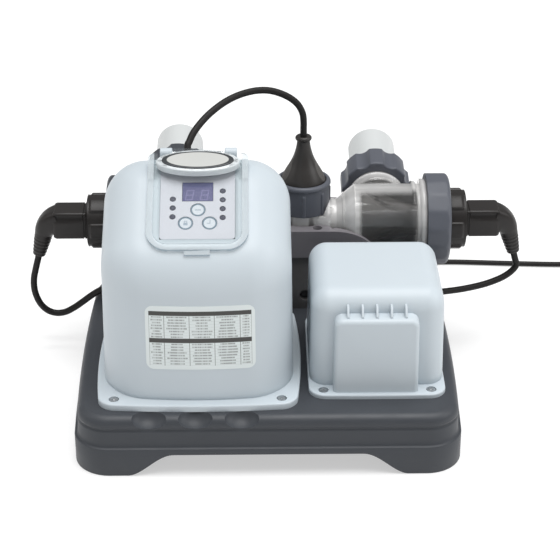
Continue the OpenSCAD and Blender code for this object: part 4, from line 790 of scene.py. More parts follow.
# Power supply
POWER_X, POWER_FRONT, POWER_BACK = 105.5, -97, 30
POWER_HW, POWER_H, POWER_TOP_R, POWER_SIDE_R, POWER_LEAN = 65, 103, 20, 18, 2
FRONT_PANEL_HW, FRONT_PANEL_H, FRONT_PANEL_OUT, FRONT_PANEL_X = 41, 83, 14, POWER_X - 2
FIN_T, FIN_PITCH, ROOT_Y = 2.2, 13.75, POWER_FRONT + 3.6


def power_skin():
    """Power cover: back wall, rounded top edges and front wall carried across the width, drawn in at the sides by a
    quarter circle, narrowed upwards and leaning back at the front."""
    x, drawn = stations(POWER_HW, POWER_SIDE_R, np.linspace(-44, 44, 9), 16)
    top = DECK + POWER_H - POWER_TOP_R
    rows = np.vstack([
        flat_rows(POWER_BACK, np.linspace(DECK, top, 8)[:-1], 1, 0),
        arc_rows((POWER_BACK - POWER_TOP_R, top), POWER_TOP_R, 0, 90, 16),
        flat_rows(np.linspace(POWER_BACK - POWER_TOP_R, POWER_FRONT + POWER_TOP_R, 10)[1:-1], DECK + POWER_H, 0, 1,
                  np.linspace(0, 1, 10)[1:-1]),
        arc_rows((POWER_FRONT + POWER_TOP_R, top), POWER_TOP_R, 90, 180, 16, 1.0),
        flat_rows(POWER_FRONT, np.linspace(top, DECK, 8)[1:], -1, 0, 1.0),
    ])
    y, z, share = profile_points(rows, drawn[None, :])
    grid = np.stack([POWER_X + x * (1 - SIDE_DRAFT * (z - DECK) / POWER_HW),
                     y + POWER_LEAN * share * (z - DECK) / POWER_H, z], -1)
    return sided(grid, lambda s: (POWER_X + s * POWER_HW, (POWER_FRONT + POWER_BACK) / 2, DECK)), None, None


def front_panel():
    """Raised panel of the power cover: its outline goes forward and closes over a rounded front edge."""
    edge = 4.5
    low = DECK + 0.2
    layers = [(ROOT_Y, 0.0)]
    layers += [(POWER_FRONT - FRONT_PANEL_OUT + under, drawn) for drawn, under in rounding(edge, 9)]
    rings = []
    for y, inset in layers:
        hw = FRONT_PANEL_HW - inset
        top = DECK + FRONT_PANEL_H - inset
        ring = filleted([(hw, low), (hw - 1, top), (1 - hw, top), (-hw, low)], [0.01, 8 - inset, 8 - inset, 0.01], 10)
        rings.append(np.column_stack([FRONT_PANEL_X + ring[:, 0], np.full(len(ring), y), ring[:, 1]]))
    return stacked(rings)


def fin(x):
    """Cooling fin above the front panel: its side view, carried across its thickness."""
    low = DECK + FRONT_PANEL_H - 3
    tip = POWER_FRONT - FRONT_PANEL_OUT + 5
    return plate(np.array([
        (ROOT_Y, low), (tip + 0.5, low), (tip, low + 4.5), (POWER_FRONT - 4, low + 10.5), (POWER_FRONT - 2, low + 12),
        (ROOT_Y, low + 12), (ROOT_Y, low),
    ]), x, FIN_T)


walled(piece("power_shell", [power_skin()], PALE, "power_cover", solid=False), SHELL_WALL)
power_foot = foot_ring(*stations(POWER_HW, POWER_SIDE_R, np.linspace(-46, 46, 25)), POWER_FRONT, POWER_BACK, 0,
                       POWER_HW, POWER_X)
power_ring = outline(POWER_HW + 1, (POWER_BACK - POWER_FRONT + 34) / 2, 16, 0.5, 1, 22)
power_ring += [POWER_X, (POWER_FRONT + POWER_BACK - 2) / 2]
cover_rim("power_rim", "power_cover", power_ring, power_foot, POWER_FLANGE_T,
          [(POWER_X + s * (POWER_HW - 13), y) for s in (-1, 1) for y in (POWER_FRONT - 8.5, POWER_BACK + 8)])
piece("power_front_panel", [front_panel()], PALE, "power_cover")
fins = [fin(FRONT_PANEL_X + FIN_PITCH * i) for i in range(-2, 3)]
softened_edges(piece("power_fins", fins, PALE, "power_cover"), 0.5)
CELL_GLAND = (POWER_X + 49, POWER_BACK + 1.5, GLAND_Z)
piece("power_cable_pad", [boss(CELL_GLAND, Y_AXIS, GLAND_PAD_R, 6)], PALE, "power_cover")


# Base tray
BASE_HW, BASE_HD, BASE_CORNER, SIDE_SWELL, BASE_WALL = 185, 152, 33, 5, 4
SKIRT, STEP_IN, LIP_R = 30, 2.5, 9.5
ARCH_HW, ARCH_RUN, ARCH_H = 90, 47, 23.5
SCALLOPS = [CONTROL_X - 2 + 44 * i for i in (-1, 0, 1)]
SCALLOP_R, SCALLOP_DEPTH, SCALLOP_WIDE = 16, 18, 1.22
COVE_DEPTH, COVE_LOW, COVE_H = 0.55, DECK - LIP_R - 6, 5.8
POST_T, POST_HW, PEDESTAL = 12, 28, ((-32.5, 65, 59), (109.5, 140, 123.7))
SCREW_HOLE, SCREW_HOLE_R = np.array([40.5, 65, DECK + 16]), 6
MAINS_GLAND = (60, 150, 42)


def base_ring(inset, z):
    """Plan of the base, drawn in by inset, at a height."""
    return level(outline(BASE_HW - inset, BASE_HD - inset, max(4, BASE_CORNER - inset), SIDE_SWELL, 0, 20), z)


def base_shell():
    """Hollow tray: rings from the inside of its roof down the inner wall, out under the foot, up the skirt, over the
    step line, through a shallow cove and round the deck edge."""
    roof = DECK - BASE_WALL
    inner = BASE_WALL + STEP_IN + 1
    lines = [(inner + LIP_R / 3, roof), (inner, roof - LIP_R / 2), (inner, SKIRT + 2), (BASE_WALL, SKIRT - 2),
             (BASE_WALL, 0), (1.2, 0), (0.35, 0.35), (0, 1.2), (0, SKIRT - 1.2), (0.35, SKIRT - 0.35), (1.1, SKIRT),
             (STEP_IN - 0.3, SKIRT + 0.5), (STEP_IN + 0.5, SKIRT + 1.6), (STEP_IN + 1, SKIRT + 4)]
    lines += [(STEP_IN + 1 + COVE_DEPTH * (1 - math.cos(2 * math.pi * share)), COVE_LOW + COVE_H * share)
              for share in np.linspace(0, 1, 10)]
    lines += [(STEP_IN + 1 + drawn, DECK - under) for drawn, under in rounding(LIP_R, 14)]
    return stacked([base_ring(inset, z) for inset, z in lines])


def archway():
    """Cutter for the opening between the feet: a flat top that falls to the floor by half a cosine wave at each end,
    carried from front to back."""
    share = np.linspace(0, 1, 24)
    side = np.stack([ARCH_HW + ARCH_RUN * (1 - share), ARCH_H * (1 - np.cos(np.pi * share)) / 2], -1)
    line = np.vstack([[(ARCH_HW + ARCH_RUN, -5)], side, (side * [-1, 1])[::-1], [(-ARCH_HW - ARCH_RUN, -5)]])
    line = np.vstack([line, line[:1]])
    loop = np.column_stack([line[:, 0], np.full(len(line), -BASE_HD - 10), line[:, 1]])
    return prism(loop, (0, 2 * BASE_HD + 20, 0))


def scallop(x, grow=0.0):
    """Finger scallop: half an ellipsoid, wider than high, from the front edge towards the back, open to the front by
    a short tube."""
    turn = np.linspace(0, np.pi / 2, 18)
    bowl = np.stack([(SCALLOP_DEPTH + grow) * np.sin(turn), (SCALLOP_R + grow) * np.cos(turn)], -1)
    profile = np.vstack([[(-6, 0), (-6, SCALLOP_R + grow)], bowl])
    grid = turned(profile, np.array([0, -BASE_HD, DECK + 4]), Y_AXIS, X_AXIS, 64)
    return grid * [SCALLOP_WIDE, 1, 1] + [x, 0, 0]


def base_core():
    """Filled inside of the tray's upper part, just under its skin."""
    inset = STEP_IN + 2.6
    lines = [(inset, SKIRT + 4)] + [(inset + drawn, DECK - 1 - under) for drawn, under in rounding(LIP_R, 10, 75)]
    return stacked([base_ring(inset, z) for inset, z in lines])


def saddle(x):
    """Post under a chamber, its top hollowed to the chamber's radius."""
    y, foot = np.linspace(-POST_HW, POST_HW, 25), DECK - 2
    top = np.stack([y, AXIS_Z - np.sqrt(CHAMBER_R ** 2 - y ** 2)], -1)
    return plate(np.vstack([[(-POST_HW, foot)], top, [(POST_HW, foot), (-POST_HW, foot)]]) + [AXIS_Y, 0], x, POST_T)


def block(low, high, corner):
    """Upright block with rounded corners in plan."""
    low, high = np.array(low, float), np.array(high, float)
    half, middle = (high - low) / 2, (high + low) / 2
    ring = outline(half[0], half[1], corner, steps=8) + middle[:2]
    return stacked([level(ring, low[2]), level(ring, high[2])])


cups = piece("cups", [scallop(x, BASE_WALL) for x in SCALLOPS], SLATE)
carve(cups, [base_core()], operation="INTERSECT")
tray = piece("base_shell", [base_shell()], SLATE, "base_tray")
carve(tray, [cups], operation="UNION")
carve(tray, [archway()] + [scallop(x) for x in SCALLOPS], 28)
softened_edges(tray, 0.9, 2, 48)
# The posts and pedestal use the lighter slate: painted light on part of the base.
posts = piece("base_saddles", [saddle(125.5), saddle(-100), block(*PEDESTAL, 6)], LIT_SLATE, "base_tray")
carve(softened_edges(posts, 1.2), [turned([(-5, 0), (-5, SCREW_HOLE_R), (8, SCREW_HOLE_R), (8, 0)], SCREW_HOLE, Y_AXIS,
                                          X_AXIS, 40)])
piece("mains_pad", [boss(MAINS_GLAND, Y_AXIS, GLAND_PAD_R, 8)], SLATE, "base_tray")


# Keypad: film, buttons, lamps and display
BOOST, LOCK, TIMER = (0.4, -32), (-11, -46.6), (11.4, -46.6)
LAMPS = [(23.5, -11.2 - 9.8 * i) for i in range(4)] + [(-23.2, -20 - 9.8 * i) for i in range(3)]
DISPLAY_W, DISPLAY_LEN, DISPLAY_V = 29, 21, -12
BUTTON_R, LAMP_R = 7, 2.75


def keypad_film():
    """Printed film: its line runs up the panel and over the crest, carried across the width, with rounded lower
    corners and a thickness of half a millimetre."""
    foot = PLATE_TOP - PLATE_LEN
    rise = np.concatenate([3 * (1 - np.cos(np.linspace(0, np.pi / 2, 9))), np.linspace(3, -foot, 14)[1:]])
    half = PLATE_W / 2 - 3 + np.sqrt(9 - (3 - np.minimum(rise, 3)) ** 2)
    turn = np.radians(90 + PANEL_SLOPE - np.linspace(0, 24, 13)[1:])
    half = np.concatenate([half, np.full(len(turn), PLATE_W / 2)])
    across, lift = both_faces(15, 0.15, -0.35)
    flat = PANEL_TOP[1:] + (foot + rise)[:, None, None] * PANEL_ACROSS[1:] + lift[None, :, None] * PANEL_OUT[1:]
    bent = CREST_C + (CREST_R + lift)[None, :, None] * np.stack([np.cos(turn), np.sin(turn)], -1)[:, None]
    line = np.concatenate([flat, bent])
    return stacked(np.concatenate([PANEL_X + (half[:, None] * across)[..., None], line], -1))


def panel_drum(at, profile, disc=None, steps=64):
    """Round piece on the panel, turned about the panel's normal."""
    return turned(profile, on_panel((*at, 0)), PANEL_OUT, X_AXIS, steps, disc=disc)


def panel_block(v, width, length, low, high, corner=0.6):
    """Rounded rectangular block on the panel, with a UV map over its face."""
    grid = stacked([
        level(outline(width / 2 - inset, length / 2 - inset, corner, steps=5), w)
        for inset, w in ((0.0, low), (0.0, high - 0.25), (0.08, high - 0.08), (0.3, high))
    ])
    return on_panel(grid + [0, v, 0]), grid[..., :2] / [width, length] + 0.5, None


def uv_radius(finish):
    """Distance from the middle of a UV map, one at its rim."""
    return finish.times(finish.vector("DISTANCE", finish.where("UV"), (0.5, 0.5, 0)), 2.0)


def button_finish(name, marks):
    """White button with a blue-grey ring, and faint grey marks, each a box (u from, u to, v from, v to)."""
    finish = Finish(name, Specular_IOR_Level=0.3)
    u, v, _ = finish.parts(finish.where("UV"))
    face = finish.blend(finish.noise(40), tint(200, 205, 212), tint(208, 212, 218))
    for box in marks:
        mark = finish.times(finish.between(u, *box[:2], 0.02), finish.between(v, *box[2:], 0.02))
        face = finish.blend(finish.times(mark, 0.8), face, tint(126, 142, 158))
    ring = finish.between(uv_radius(finish), 0.77, 0.985, 0.03)
    finish.colour(finish.blend(ring, face, tint(96, 118, 134)))
    return finish.uneven(60, 0.1, 0.28).bump(finish.noise(900), 0.04).material


def display_finish():
    """Dark violet window: a darker band at the top with a thin light line under it, and two slanted faint digits made
    of seven bars each."""
    finish = Finish("display_window", Specular_IOR_Level=0.25)
    u, v, _ = finish.parts(finish.where("UV"))
    face = finish.blend(finish.between(v, 0.74, 1.2, 0.02), tint(84, 80, 128), tint(74, 74, 124))
    face = finish.blend(finish.between(v, 0.725, 0.745, 0.01), face, tint(100, 97, 144))
    for left in (0.12, 0.6):
        across = finish.less(finish.scaled(v, -0.12, u), left - 0.04)
        inside = finish.between(across, 0, 0.25, 0.006)
        rows = [finish.between(v, low, low + 0.05, 0.008) for low in (0.05, 0.3, 0.55)]
        bars = finish.times(finish.plus(rows[0], finish.plus(rows[1], rows[2])), inside)
        posts = finish.plus(finish.between(across, 0, 0.035, 0.006), finish.between(across, 0.215, 0.25, 0.006))
        posts = finish.times(posts, finish.between(v, 0.05, 0.6, 0.01))
        digit = finish.times(finish.math("MAXIMUM", bars, posts), 0.8)
        face = finish.blend(digit, face, tint(122, 117, 160))
    rim = finish.times(finish.between(u, 0.02, 0.98, 0.015), finish.between(v, 0.03, 0.97, 0.015))
    finish.colour(finish.blend(rim, tint(66, 64, 104), face))
    return finish.uneven(30, 0.08, 0.42).material


film_holes = [(at, BUTTON_R + 0.25) for at in (BOOST, LOCK, TIMER)] + [(at, LAMP_R + 0.2) for at in LAMPS]
carve(piece("keypad_film", [keypad_film()], KEYPAD, "keypad_plate"),
      [panel_drum(at, [(-4, 0), (-4, r), (4, r), (4, 0)]) for at, r in film_holes]
      + [panel_block(DISPLAY_V, DISPLAY_W + 0.3, DISPLAY_LEN + 0.3, -4, 4)])

BUTTON_PROFILE = [(-3.4, 0), (-3.4, 8.4), (-2.4, 8.4), (-2.4, BUTTON_R), (-0.4, BUTTON_R), (-0.1, BUTTON_R - 0.25),
                  (0.05, BUTTON_R - 0.8), (-0.05, BUTTON_R - 1.6), (0, 0)]
for body, at, marks in (
    ("boost", BOOST, [(0.3, 0.7, 0.46, 0.54)]),
    ("lock", LOCK, [(0.36, 0.64, 0.34, 0.54), (0.4, 0.45, 0.54, 0.68), (0.55, 0.6, 0.54, 0.68),
                    (0.4, 0.6, 0.64, 0.69)]),
    ("timer", TIMER, [(0.5, 0.55, 0.48, 0.76), (0.32, 0.55, 0.46, 0.52)]),
):
    piece(body + "_cap", [panel_drum(at, BUTTON_PROFILE, BUTTON_R)], button_finish(body + "_button", marks),
          body + "_button")

DOME = [(-3, 0), (-3, LAMP_R), (-0.5, LAMP_R), (-0.15, LAMP_R * 0.93), (0.1, LAMP_R * 0.75), (0.28, LAMP_R * 0.4),
        (0.34, 0)]
piece("lamp_domes", [panel_drum(at, DOME, steps=32) for at in LAMPS], LAMP, "indicator_lamps")
piece("display_window", [panel_block(DISPLAY_V, DISPLAY_W, DISPLAY_LEN, -2.2, 0.12)], display_finish(), "display_lens")


# Lid and its badge
BADGE_AT, BADGE_TILT = np.array([PANEL_X, -32, 276]), math.radians(14)
BADGE_ACROSS = np.array([0, math.cos(BADGE_TILT), math.sin(BADGE_TILT)])
BADGE_OUT = np.array([0, -BADGE_ACROSS[2], BADGE_ACROSS[1]])
BADGE_RX, BADGE_RY = 34, 12.8
SEAT_RX, SEAT_RY, LID_R = 39.4, 16.2, CREST_R + 2.2
EAR_IN, EAR_OUT, EAR_LOW, EAR_HIGH = 38.5, 47.5, 1, 30
TAB_HW, TAB_END = 14, -81.6


def badge():
    """Oval plate: rings of an ellipse from its back over a rounded rim to its slightly domed face."""
    share = np.array([0, 1, 1, 0.995, 0.98, 0.95, 0.7, 0.35, 0])
    rise = np.array([0, 0, 0.8, 1.02, 1.14, 1.2, 1.32, 1.4, 1.42])
    angle = np.linspace(0, 2 * np.pi, 129)
    x, y = share[:, None] * BADGE_RX * np.cos(angle), share[:, None] * BADGE_RY * np.sin(angle)
    z = rise[:, None] + 0 * x
    grid = BADGE_AT + x[..., None] * X_AXIS + y[..., None] * BADGE_ACROSS + z[..., None] * BADGE_OUT
    return grid, 0.5 + 0.5 * np.stack([x / BADGE_RX, y / BADGE_RY], -1), None


def badge_seat():
    """Oval seat of the badge: rings of an ellipse from its top over a rounded rim, with walls that go down along the
    badge's normal to the round of the lid."""
    angle = np.linspace(0, 2 * np.pi, 129)
    rim = BADGE_AT + SEAT_RX * np.cos(angle)[:, None] * X_AXIS + SEAT_RY * np.sin(angle)[:, None] * BADGE_ACROSS
    off = rim[:, 1:] - CREST_C
    slant = off @ BADGE_OUT[1:]
    drop = slant - np.sqrt(np.maximum(LID_R ** 2 - (off ** 2).sum(1) + slant ** 2, 0))
    drop = np.clip(drop, 2.6, 6.2)
    top = [BADGE_AT + (rim - BADGE_AT) * share - down * BADGE_OUT
           for down, share in ((0, 0.965), (0.28, 0.985), (1.1, 1))]
    wall = [rim - (1.1 + (drop - 1.1)[:, None] * share) * BADGE_OUT for share in np.linspace(0, 1, 8)[1:]]
    return stacked(np.array(top + wall))


def badge_finish():
    """Bare satin plate with a dark ring inside its rim."""
    finish = Finish("badge_plate", Coat_Weight=0.3)
    face = finish.blend(finish.noise(30, 3), tint(186, 188, 185), tint(198, 199, 196))
    ring = finish.between(uv_radius(finish), 0.86, 1.2, 0.012)
    finish.colour(finish.blend(ring, face, tint(48, 52, 55)))
    return finish.uneven(80, 0.1, 0.3).bump(finish.noise(1500), 0.04).material


def lid_ear(side):
    """Flat clear ear of the lid beside the hinge: a plate with one rounded corner in the plane of the panel, carried
    along its normal."""
    corners = [(EAR_IN, EAR_LOW), (EAR_OUT, EAR_LOW), (EAR_OUT, EAR_HIGH), (EAR_IN, EAR_HIGH)]
    ring = filleted(corners, [0.01, 0.01, 6, 0.01], 8) * [side, 1]
    return stacked([on_panel(level(ring, w)) for w in (1.2, 3.2)])


piece("lid_ears", [lid_ear(-1), lid_ear(1)], LID_CLEAR, "keypad_lid")
piece("badge_seat", [badge_seat()], FROSTED, "keypad_lid", 50)
piece("badge_plate", [badge()], badge_finish(), "lid_badge", 50)
beyond_tab = on_panel([(-TAB_HW, v, w) for v, w in ((-95, -30), (-95, 10), (TAB_END, 10), (TAB_END, -30), (-95, -30))])
carve(smoothed("keypad_lid", 26), [prism(beyond_tab, (2 * TAB_HW, 0, 0))], 26)


# Label on the front of the control unit
LABEL_HW, LABEL_LOW, LABEL_HIGH, LABEL_R, LABEL_X = 52, 102.6, 170.4, 7.5, 4
TABLE_LEFT, TABLE_W, TABLE_TOP, TABLE_H = 0.033, 0.934, 0.921, 0.867


def code_label():
    """Thin sheet on the bowed front wall: rows from its foot to its top, the half width following rounded corners,
    and the depth the wall's own bow."""
    end = LABEL_R * (1 - np.cos(np.linspace(0, np.pi / 2, 8)))
    z = np.concatenate([LABEL_LOW + end, np.linspace(LABEL_LOW, LABEL_HIGH, 14)[2:-2], LABEL_HIGH - end[::-1]])
    near = np.minimum(np.minimum(z - LABEL_LOW, LABEL_HIGH - z), LABEL_R)
    half = LABEL_HW - LABEL_R + np.sqrt(LABEL_R ** 2 - (LABEL_R - near) ** 2)
    share, lift = both_faces(25, 0.25, -0.3)
    x = half[:, None] * share + LABEL_X
    drawn = SIDE_R * (1 - np.sqrt(1 - np.clip((np.abs(x) - CONTROL_HW + SIDE_R) / SIDE_R, 0, 1) ** 2))
    height = z[:, None] + 0 * x
    narrow = 1 - SIDE_DRAFT * (height - DECK) / CONTROL_HW
    y = CONTROL_FRONT + drawn + FRONT_BOW * (x / CONTROL_HW) ** 2 - lift
    grid = np.stack([CONTROL_X + x * narrow, y, height], -1)
    uv = np.stack([(x - LABEL_X) / (2 * LABEL_HW) + 0.5, (height - LABEL_LOW) / (LABEL_HIGH - LABEL_LOW)], -1)
    return stacked(grid), stacked(uv), None


def label_finish():
    """Off-white label with a plain table: two dark heading bars, thin column and row lines, and a grey bar in the
    middle of each cell whose length wanders from row to row."""
    finish = Finish("label_print", Coat_Weight=0.25)
    u, v, _ = finish.parts(finish.where("UV"))
    head, second, row_h = 0.079, 0.49, 0.0514
    column = finish.math("DIVIDE", finish.less(u, TABLE_LEFT), TABLE_W)
    row = finish.math("DIVIDE", finish.less(TABLE_TOP, v), TABLE_H)
    inside = finish.times(finish.between(column, 0, 1, 0.002), finish.between(row, 0, 0.992, 0.002))
    heads = finish.plus(finish.between(row, 0, head, 0.003), finish.between(row, second, 0.572, 0.003))
    step = finish.math("DIVIDE", finish.math("MODULO", finish.less(row, head), 0.493), row_h)
    place = finish.math("FRACT", step)
    lines = finish.times(finish.between(place, 0.95, 1.05, 0.02), 0.45)
    bars = None
    edges = (0.0, 0.148, 0.394, 0.639, 0.889, 1.0)
    for index, (left, right) in enumerate(zip(edges, edges[1:])):
        table = finish.scaled(finish.math("GREATER_THAN", row, second), 31.0, 7.3 * index)
        seed = finish.scaled(finish.math("FLOOR", step), 1.7, table)
        wander = finish.add("ShaderNodeTexWhiteNoise", {"W": seed}, noise_dimensions="1D").outputs["Value"]
        off = finish.math("ABSOLUTE", finish.less(column, (left + right) / 2))
        reach = finish.scaled(wander, (right - left) * 0.2, (right - left) * 0.22)
        cell = finish.math("LESS_THAN", off, reach)
        bars = cell if bars is None else finish.plus(bars, cell)
        for edge in (left, right):
            lines = finish.math("MAXIMUM", lines, finish.between(column, edge - 0.0025, edge + 0.0025, 0.001))
    bars = finish.times(bars, finish.between(place, 0.24, 0.74, 0.06))
    speck = finish.math("GREATER_THAN", finish.noise(900, 0, (1, 0.05, 0.05)), 0.5)
    ragged = finish.scaled(speck, 0.3, 0.35)
    ink = finish.math("MAXIMUM", lines, finish.times(bars, ragged))
    face = finish.blend(finish.noise(20), tint(216, 224, 224), tint(224, 231, 231))
    face = finish.blend(finish.times(ink, inside), face, tint(92, 94, 92))
    face = finish.blend(finish.times(heads, inside), face, tint(50, 50, 47))
    finish.colour(face)
    return finish.uneven(90, 0.1, 0.3).material


piece("code_label", [code_label()], label_finish(), sharp=50)


# Manifold and its fittings
CELL_END, ION_END = AXIS + 160 * X_AXIS, AXIS - 134.5 * X_AXIS
PORT_AXIS = np.array([0, 0.991445, 0.130526])


def cell_collar(origin, axis):
    """Screwed collar of a cell: a ring with a rounded outer edge, its outside limited to sixteen soft flats."""
    sides, flat = 16, 47.25

    def reach(angle, height, radius):
        off = (angle + np.pi / sides) % (2 * np.pi / sides) - np.pi / sides
        return np.where(radius > 43, np.minimum(radius, flat / np.cos(off)), radius)

    profile = np.vstack([[(5.6, 41.4), (5.6, 46.4), (5.95, 47.5), (7.1, 48)], arc((24.1, 42), 6, 90, 0, 12),
                         [(30.1, 29), (22.6, 29), (22.6, 41.4), (5.6, 41.4)]])
    return turned(profile, origin, axis, Z_AXIS, 192, reach)


def lock_ring(origin, axis, start, end, r):
    """Hand ring behind a collar: a rounded ring with six raised grip pads that end short of its outer edge."""
    def reach(angle, height, radius):
        off = np.degrees(np.abs(angle % (np.pi / 3) - np.pi / 6))
        pad = eased(off, 17.5, 14.5) * eased(height, end - 3, end - 5)
        return np.where(radius > 27.5, np.minimum(radius, r - 2 + 2 * pad), radius)

    side = np.stack([np.linspace(start + 1, end - 3.5, 14), np.full(14, r)], -1)
    profile = np.vstack([[(start, 26.4), (start, r - 1)], side, arc((end - 3.5, r - 3.5), 3.5, 90, 0, 9)[1:],
                         [(end, 26.4), (start, 26.4)]])
    return turned(profile, origin, axis, Z_AXIS, 240, reach)


def union_nut(x, start):
    """Lobed nut of a hose union: eight round scallops taken out of a ring with rounded ends."""
    outer, scallop_at, scallop_r = 37, 45.8, 12

    def reach(angle, height, radius):
        off = (angle - np.pi / 2) % (np.pi / 4) - np.pi / 8
        across = scallop_at * np.sin(off)
        dip = scallop_at * np.cos(off) - np.sqrt(np.maximum(scallop_r ** 2 - across ** 2, 0))
        dip = np.where(np.abs(across) < scallop_r, dip, outer)
        return np.where(radius > 30, radius - (outer - np.minimum(outer, dip)), radius)

    profile = np.vstack([[(0, 27.4)], arc((2.2, 34.8), 2.2, 180, 90, 7), arc((29.8, 34.8), 2.2, 90, 0, 7),
                         [(32, 25.9), (20, 25.9), (20, 27.4), (0, 27.4)]])
    return turned(profile, AXIS + x * X_AXIS + start * PORT_AXIS, PORT_AXIS, X_AXIS, 240, reach)


# The left-hand collar takes the darker copy of the grey, painted shade.
for cell, end, axis, ring_end, ring_r, grey in (("cell", CELL_END, X_AXIS, 47.6, 32, GREY),
                                                ("ioniser", ION_END, -X_AXIS, 51.5, 29, SHADE_GREY)):
    piece(cell + "_collar_ring", [cell_collar(end, axis)], grey, cell + "_collar", 24)
    piece(cell + "_grip_ring", [lock_ring(end, axis, 30.7, ring_end, ring_r)], BLACK, cell + "_lock_ring", 40)
# The left-hand union nut takes the darker copy of the grey, painted shade.
for side, x, start, grey in (("right", 118, 50.5, GREY), ("left", -95, 63.2, SHADE_GREY)):
    piece(side + "_union_nut", [union_nut(x, start)], grey, side + "_hose_nut", 34)

SENSOR_X, BELL_BASE = 38.5, 189.3
NECK = np.array([SENSOR_X, AXIS_Y, 0])
COLLAR_LOW, COLLAR_TOP, COLLAR_R = 162, 195.3, 28.5


def sensor_bell():
    """Flow sensor: a smooth bell through a few radii that ends in a round bead, on a flat rim."""
    bell = flowing([(0, 23.2, 0), (4, 23.2, 0), (9, 21.7, 0), (16, 18.2, 0), (24, 13.6, 0), (32, 10.1, 0), (40, 7.8, 0),
                    (46, 6.8, 0), (48.6, 6.7, 0)], 6)[:, :2]
    bead = arc((51.3, 6.1), 2.4, 172, 0, 14)
    profile = np.vstack([[(-6, 0), (-6, 24.8), (0, 24.8)], bell, bead, [(53.2, 3.6), (53.2, 0)]])
    return turned(profile, NECK + BELL_BASE * Z_AXIS, Z_AXIS, X_AXIS, 96, wrap=60)


def sensor_stem():
    """Stem inside the neck, and the two ears that hold the paddle."""
    stem = turned([(163, 0), (163, 8), (164, 9), (183.2, 9), (183.2, 0)], NECK, Z_AXIS, X_AXIS, 48)
    return [stem] + [block(NECK + [-4, y - 1.5, 154], NECK + [4, y + 1.5, 166], 1) for y in (-7.4, 7.4)]


def bell_finish():
    """Black plastic with a leaf-shaped stippled grip on each side of the bell."""
    finish = Finish("bell_plastic")
    u, v, _ = finish.parts(finish.where("UV"))
    off = finish.math("ABSOLUTE", finish.less(finish.math("FRACT", finish.times(u, 2.0)), 0.5))
    wide = finish.math("DIVIDE", finish.less(0.5, off), 0.2)
    high = finish.math("DIVIDE", finish.less(v, 0.27), 0.22)
    reach = finish.plus(finish.math("POWER", wide, 2.0), finish.math("POWER", high, 2.0))
    leaf = finish.between(reach, -1, 1, 0.06)
    speck = finish.noise(1500, 1)
    grip = finish.blend(speck, tint(46, 44, 43), tint(104, 101, 98))
    finish.colour(finish.blend(leaf, finish.blend(finish.noise(25, 3), tint(38, 35, 33), tint(45, 42, 40)), grip))
    finish.rough(finish.scaled(leaf, 0.25, 0.4))
    height = finish.scaled(finish.times(speck, leaf), 1.0, finish.times(speck, 0.15))
    return finish.bump(height, 0.5, 0.0004).material


def sensor_collar():
    """Collar of the sensor: a plain ring with a rounded band at the top and eight narrow ribs under it."""
    def reach(angle, height, radius):
        off = np.abs((angle + np.pi / 8) % (np.pi / 4) - np.pi / 8) * COLLAR_R
        rib = eased(off, 2.3, 0.9) * eased(height, COLLAR_TOP - 8, COLLAR_TOP - 10)
        plain = 27.2 + 1.3 * np.maximum(rib, eased(height, COLLAR_TOP - 5.5, COLLAR_TOP - 4))
        return np.where(radius > 27, np.minimum(radius, plain), radius)

    side = np.stack([np.linspace(COLLAR_LOW + 0.6, COLLAR_TOP - 3.2, 36), np.full(36, COLLAR_R)], -1)
    profile = np.vstack([[(COLLAR_LOW, 25.4), (COLLAR_LOW, 26.8)], side,
                         arc((COLLAR_TOP - 3, COLLAR_R - 3), 3, 90, 0, 9),
                         [(COLLAR_TOP, 24.6), (COLLAR_TOP - 0.7, 23.9), (189.6, 23.9), (189.6, 25.4),
                          (COLLAR_LOW, 25.4)]])
    return turned(profile, NECK, Z_AXIS, X_AXIS, 320, reach)


piece("sensor_bell", [sensor_bell()], bell_finish(), "sensor_body", 40)
piece("sensor_stem", sensor_stem(), BLACK, "sensor_body")
piece("sensor_collar_ring", [sensor_collar()], GREY, "sensor_collar", 40)

BOOT_LEAN = math.radians(15)
BOOT_DIR = np.array([math.sin(BOOT_LEAN), 0, -math.cos(BOOT_LEAN)])
BOOT_END, BOOT_LEN = np.array([54.0, 0, -39]), 26


def plug_body():
    """Plug: a rounded square drawn along X, its sides leaning in above the middle up to a long seam, and with a groove
    round its front."""
    layers = [(0, 1.5), (0.45, 0.45), (1.5, 0), (2.6, 0), (2.9, 0.8), (3.7, 0.8), (4, 0), (5, 0), (20, 0), (32.5, 0),
              (34.5, 0.5), (35.6, 1.6), (36, 3)]
    rings = []
    for x, inset in layers:
        ring = outline(15 - inset, 15 - inset, 3, steps=44)
        lean = 2.2 * eased(ring[:, 1], 2.5, 10.5) * eased(ring[:, 1], 12.4, 11.8)
        ring[:, 0] -= np.sign(ring[:, 0]) * lean * (np.abs(ring[:, 0]) > 9) * (x > 4.5)
        rings.append(np.column_stack([np.full(len(ring), x), ring]))
    return stacked(rings)


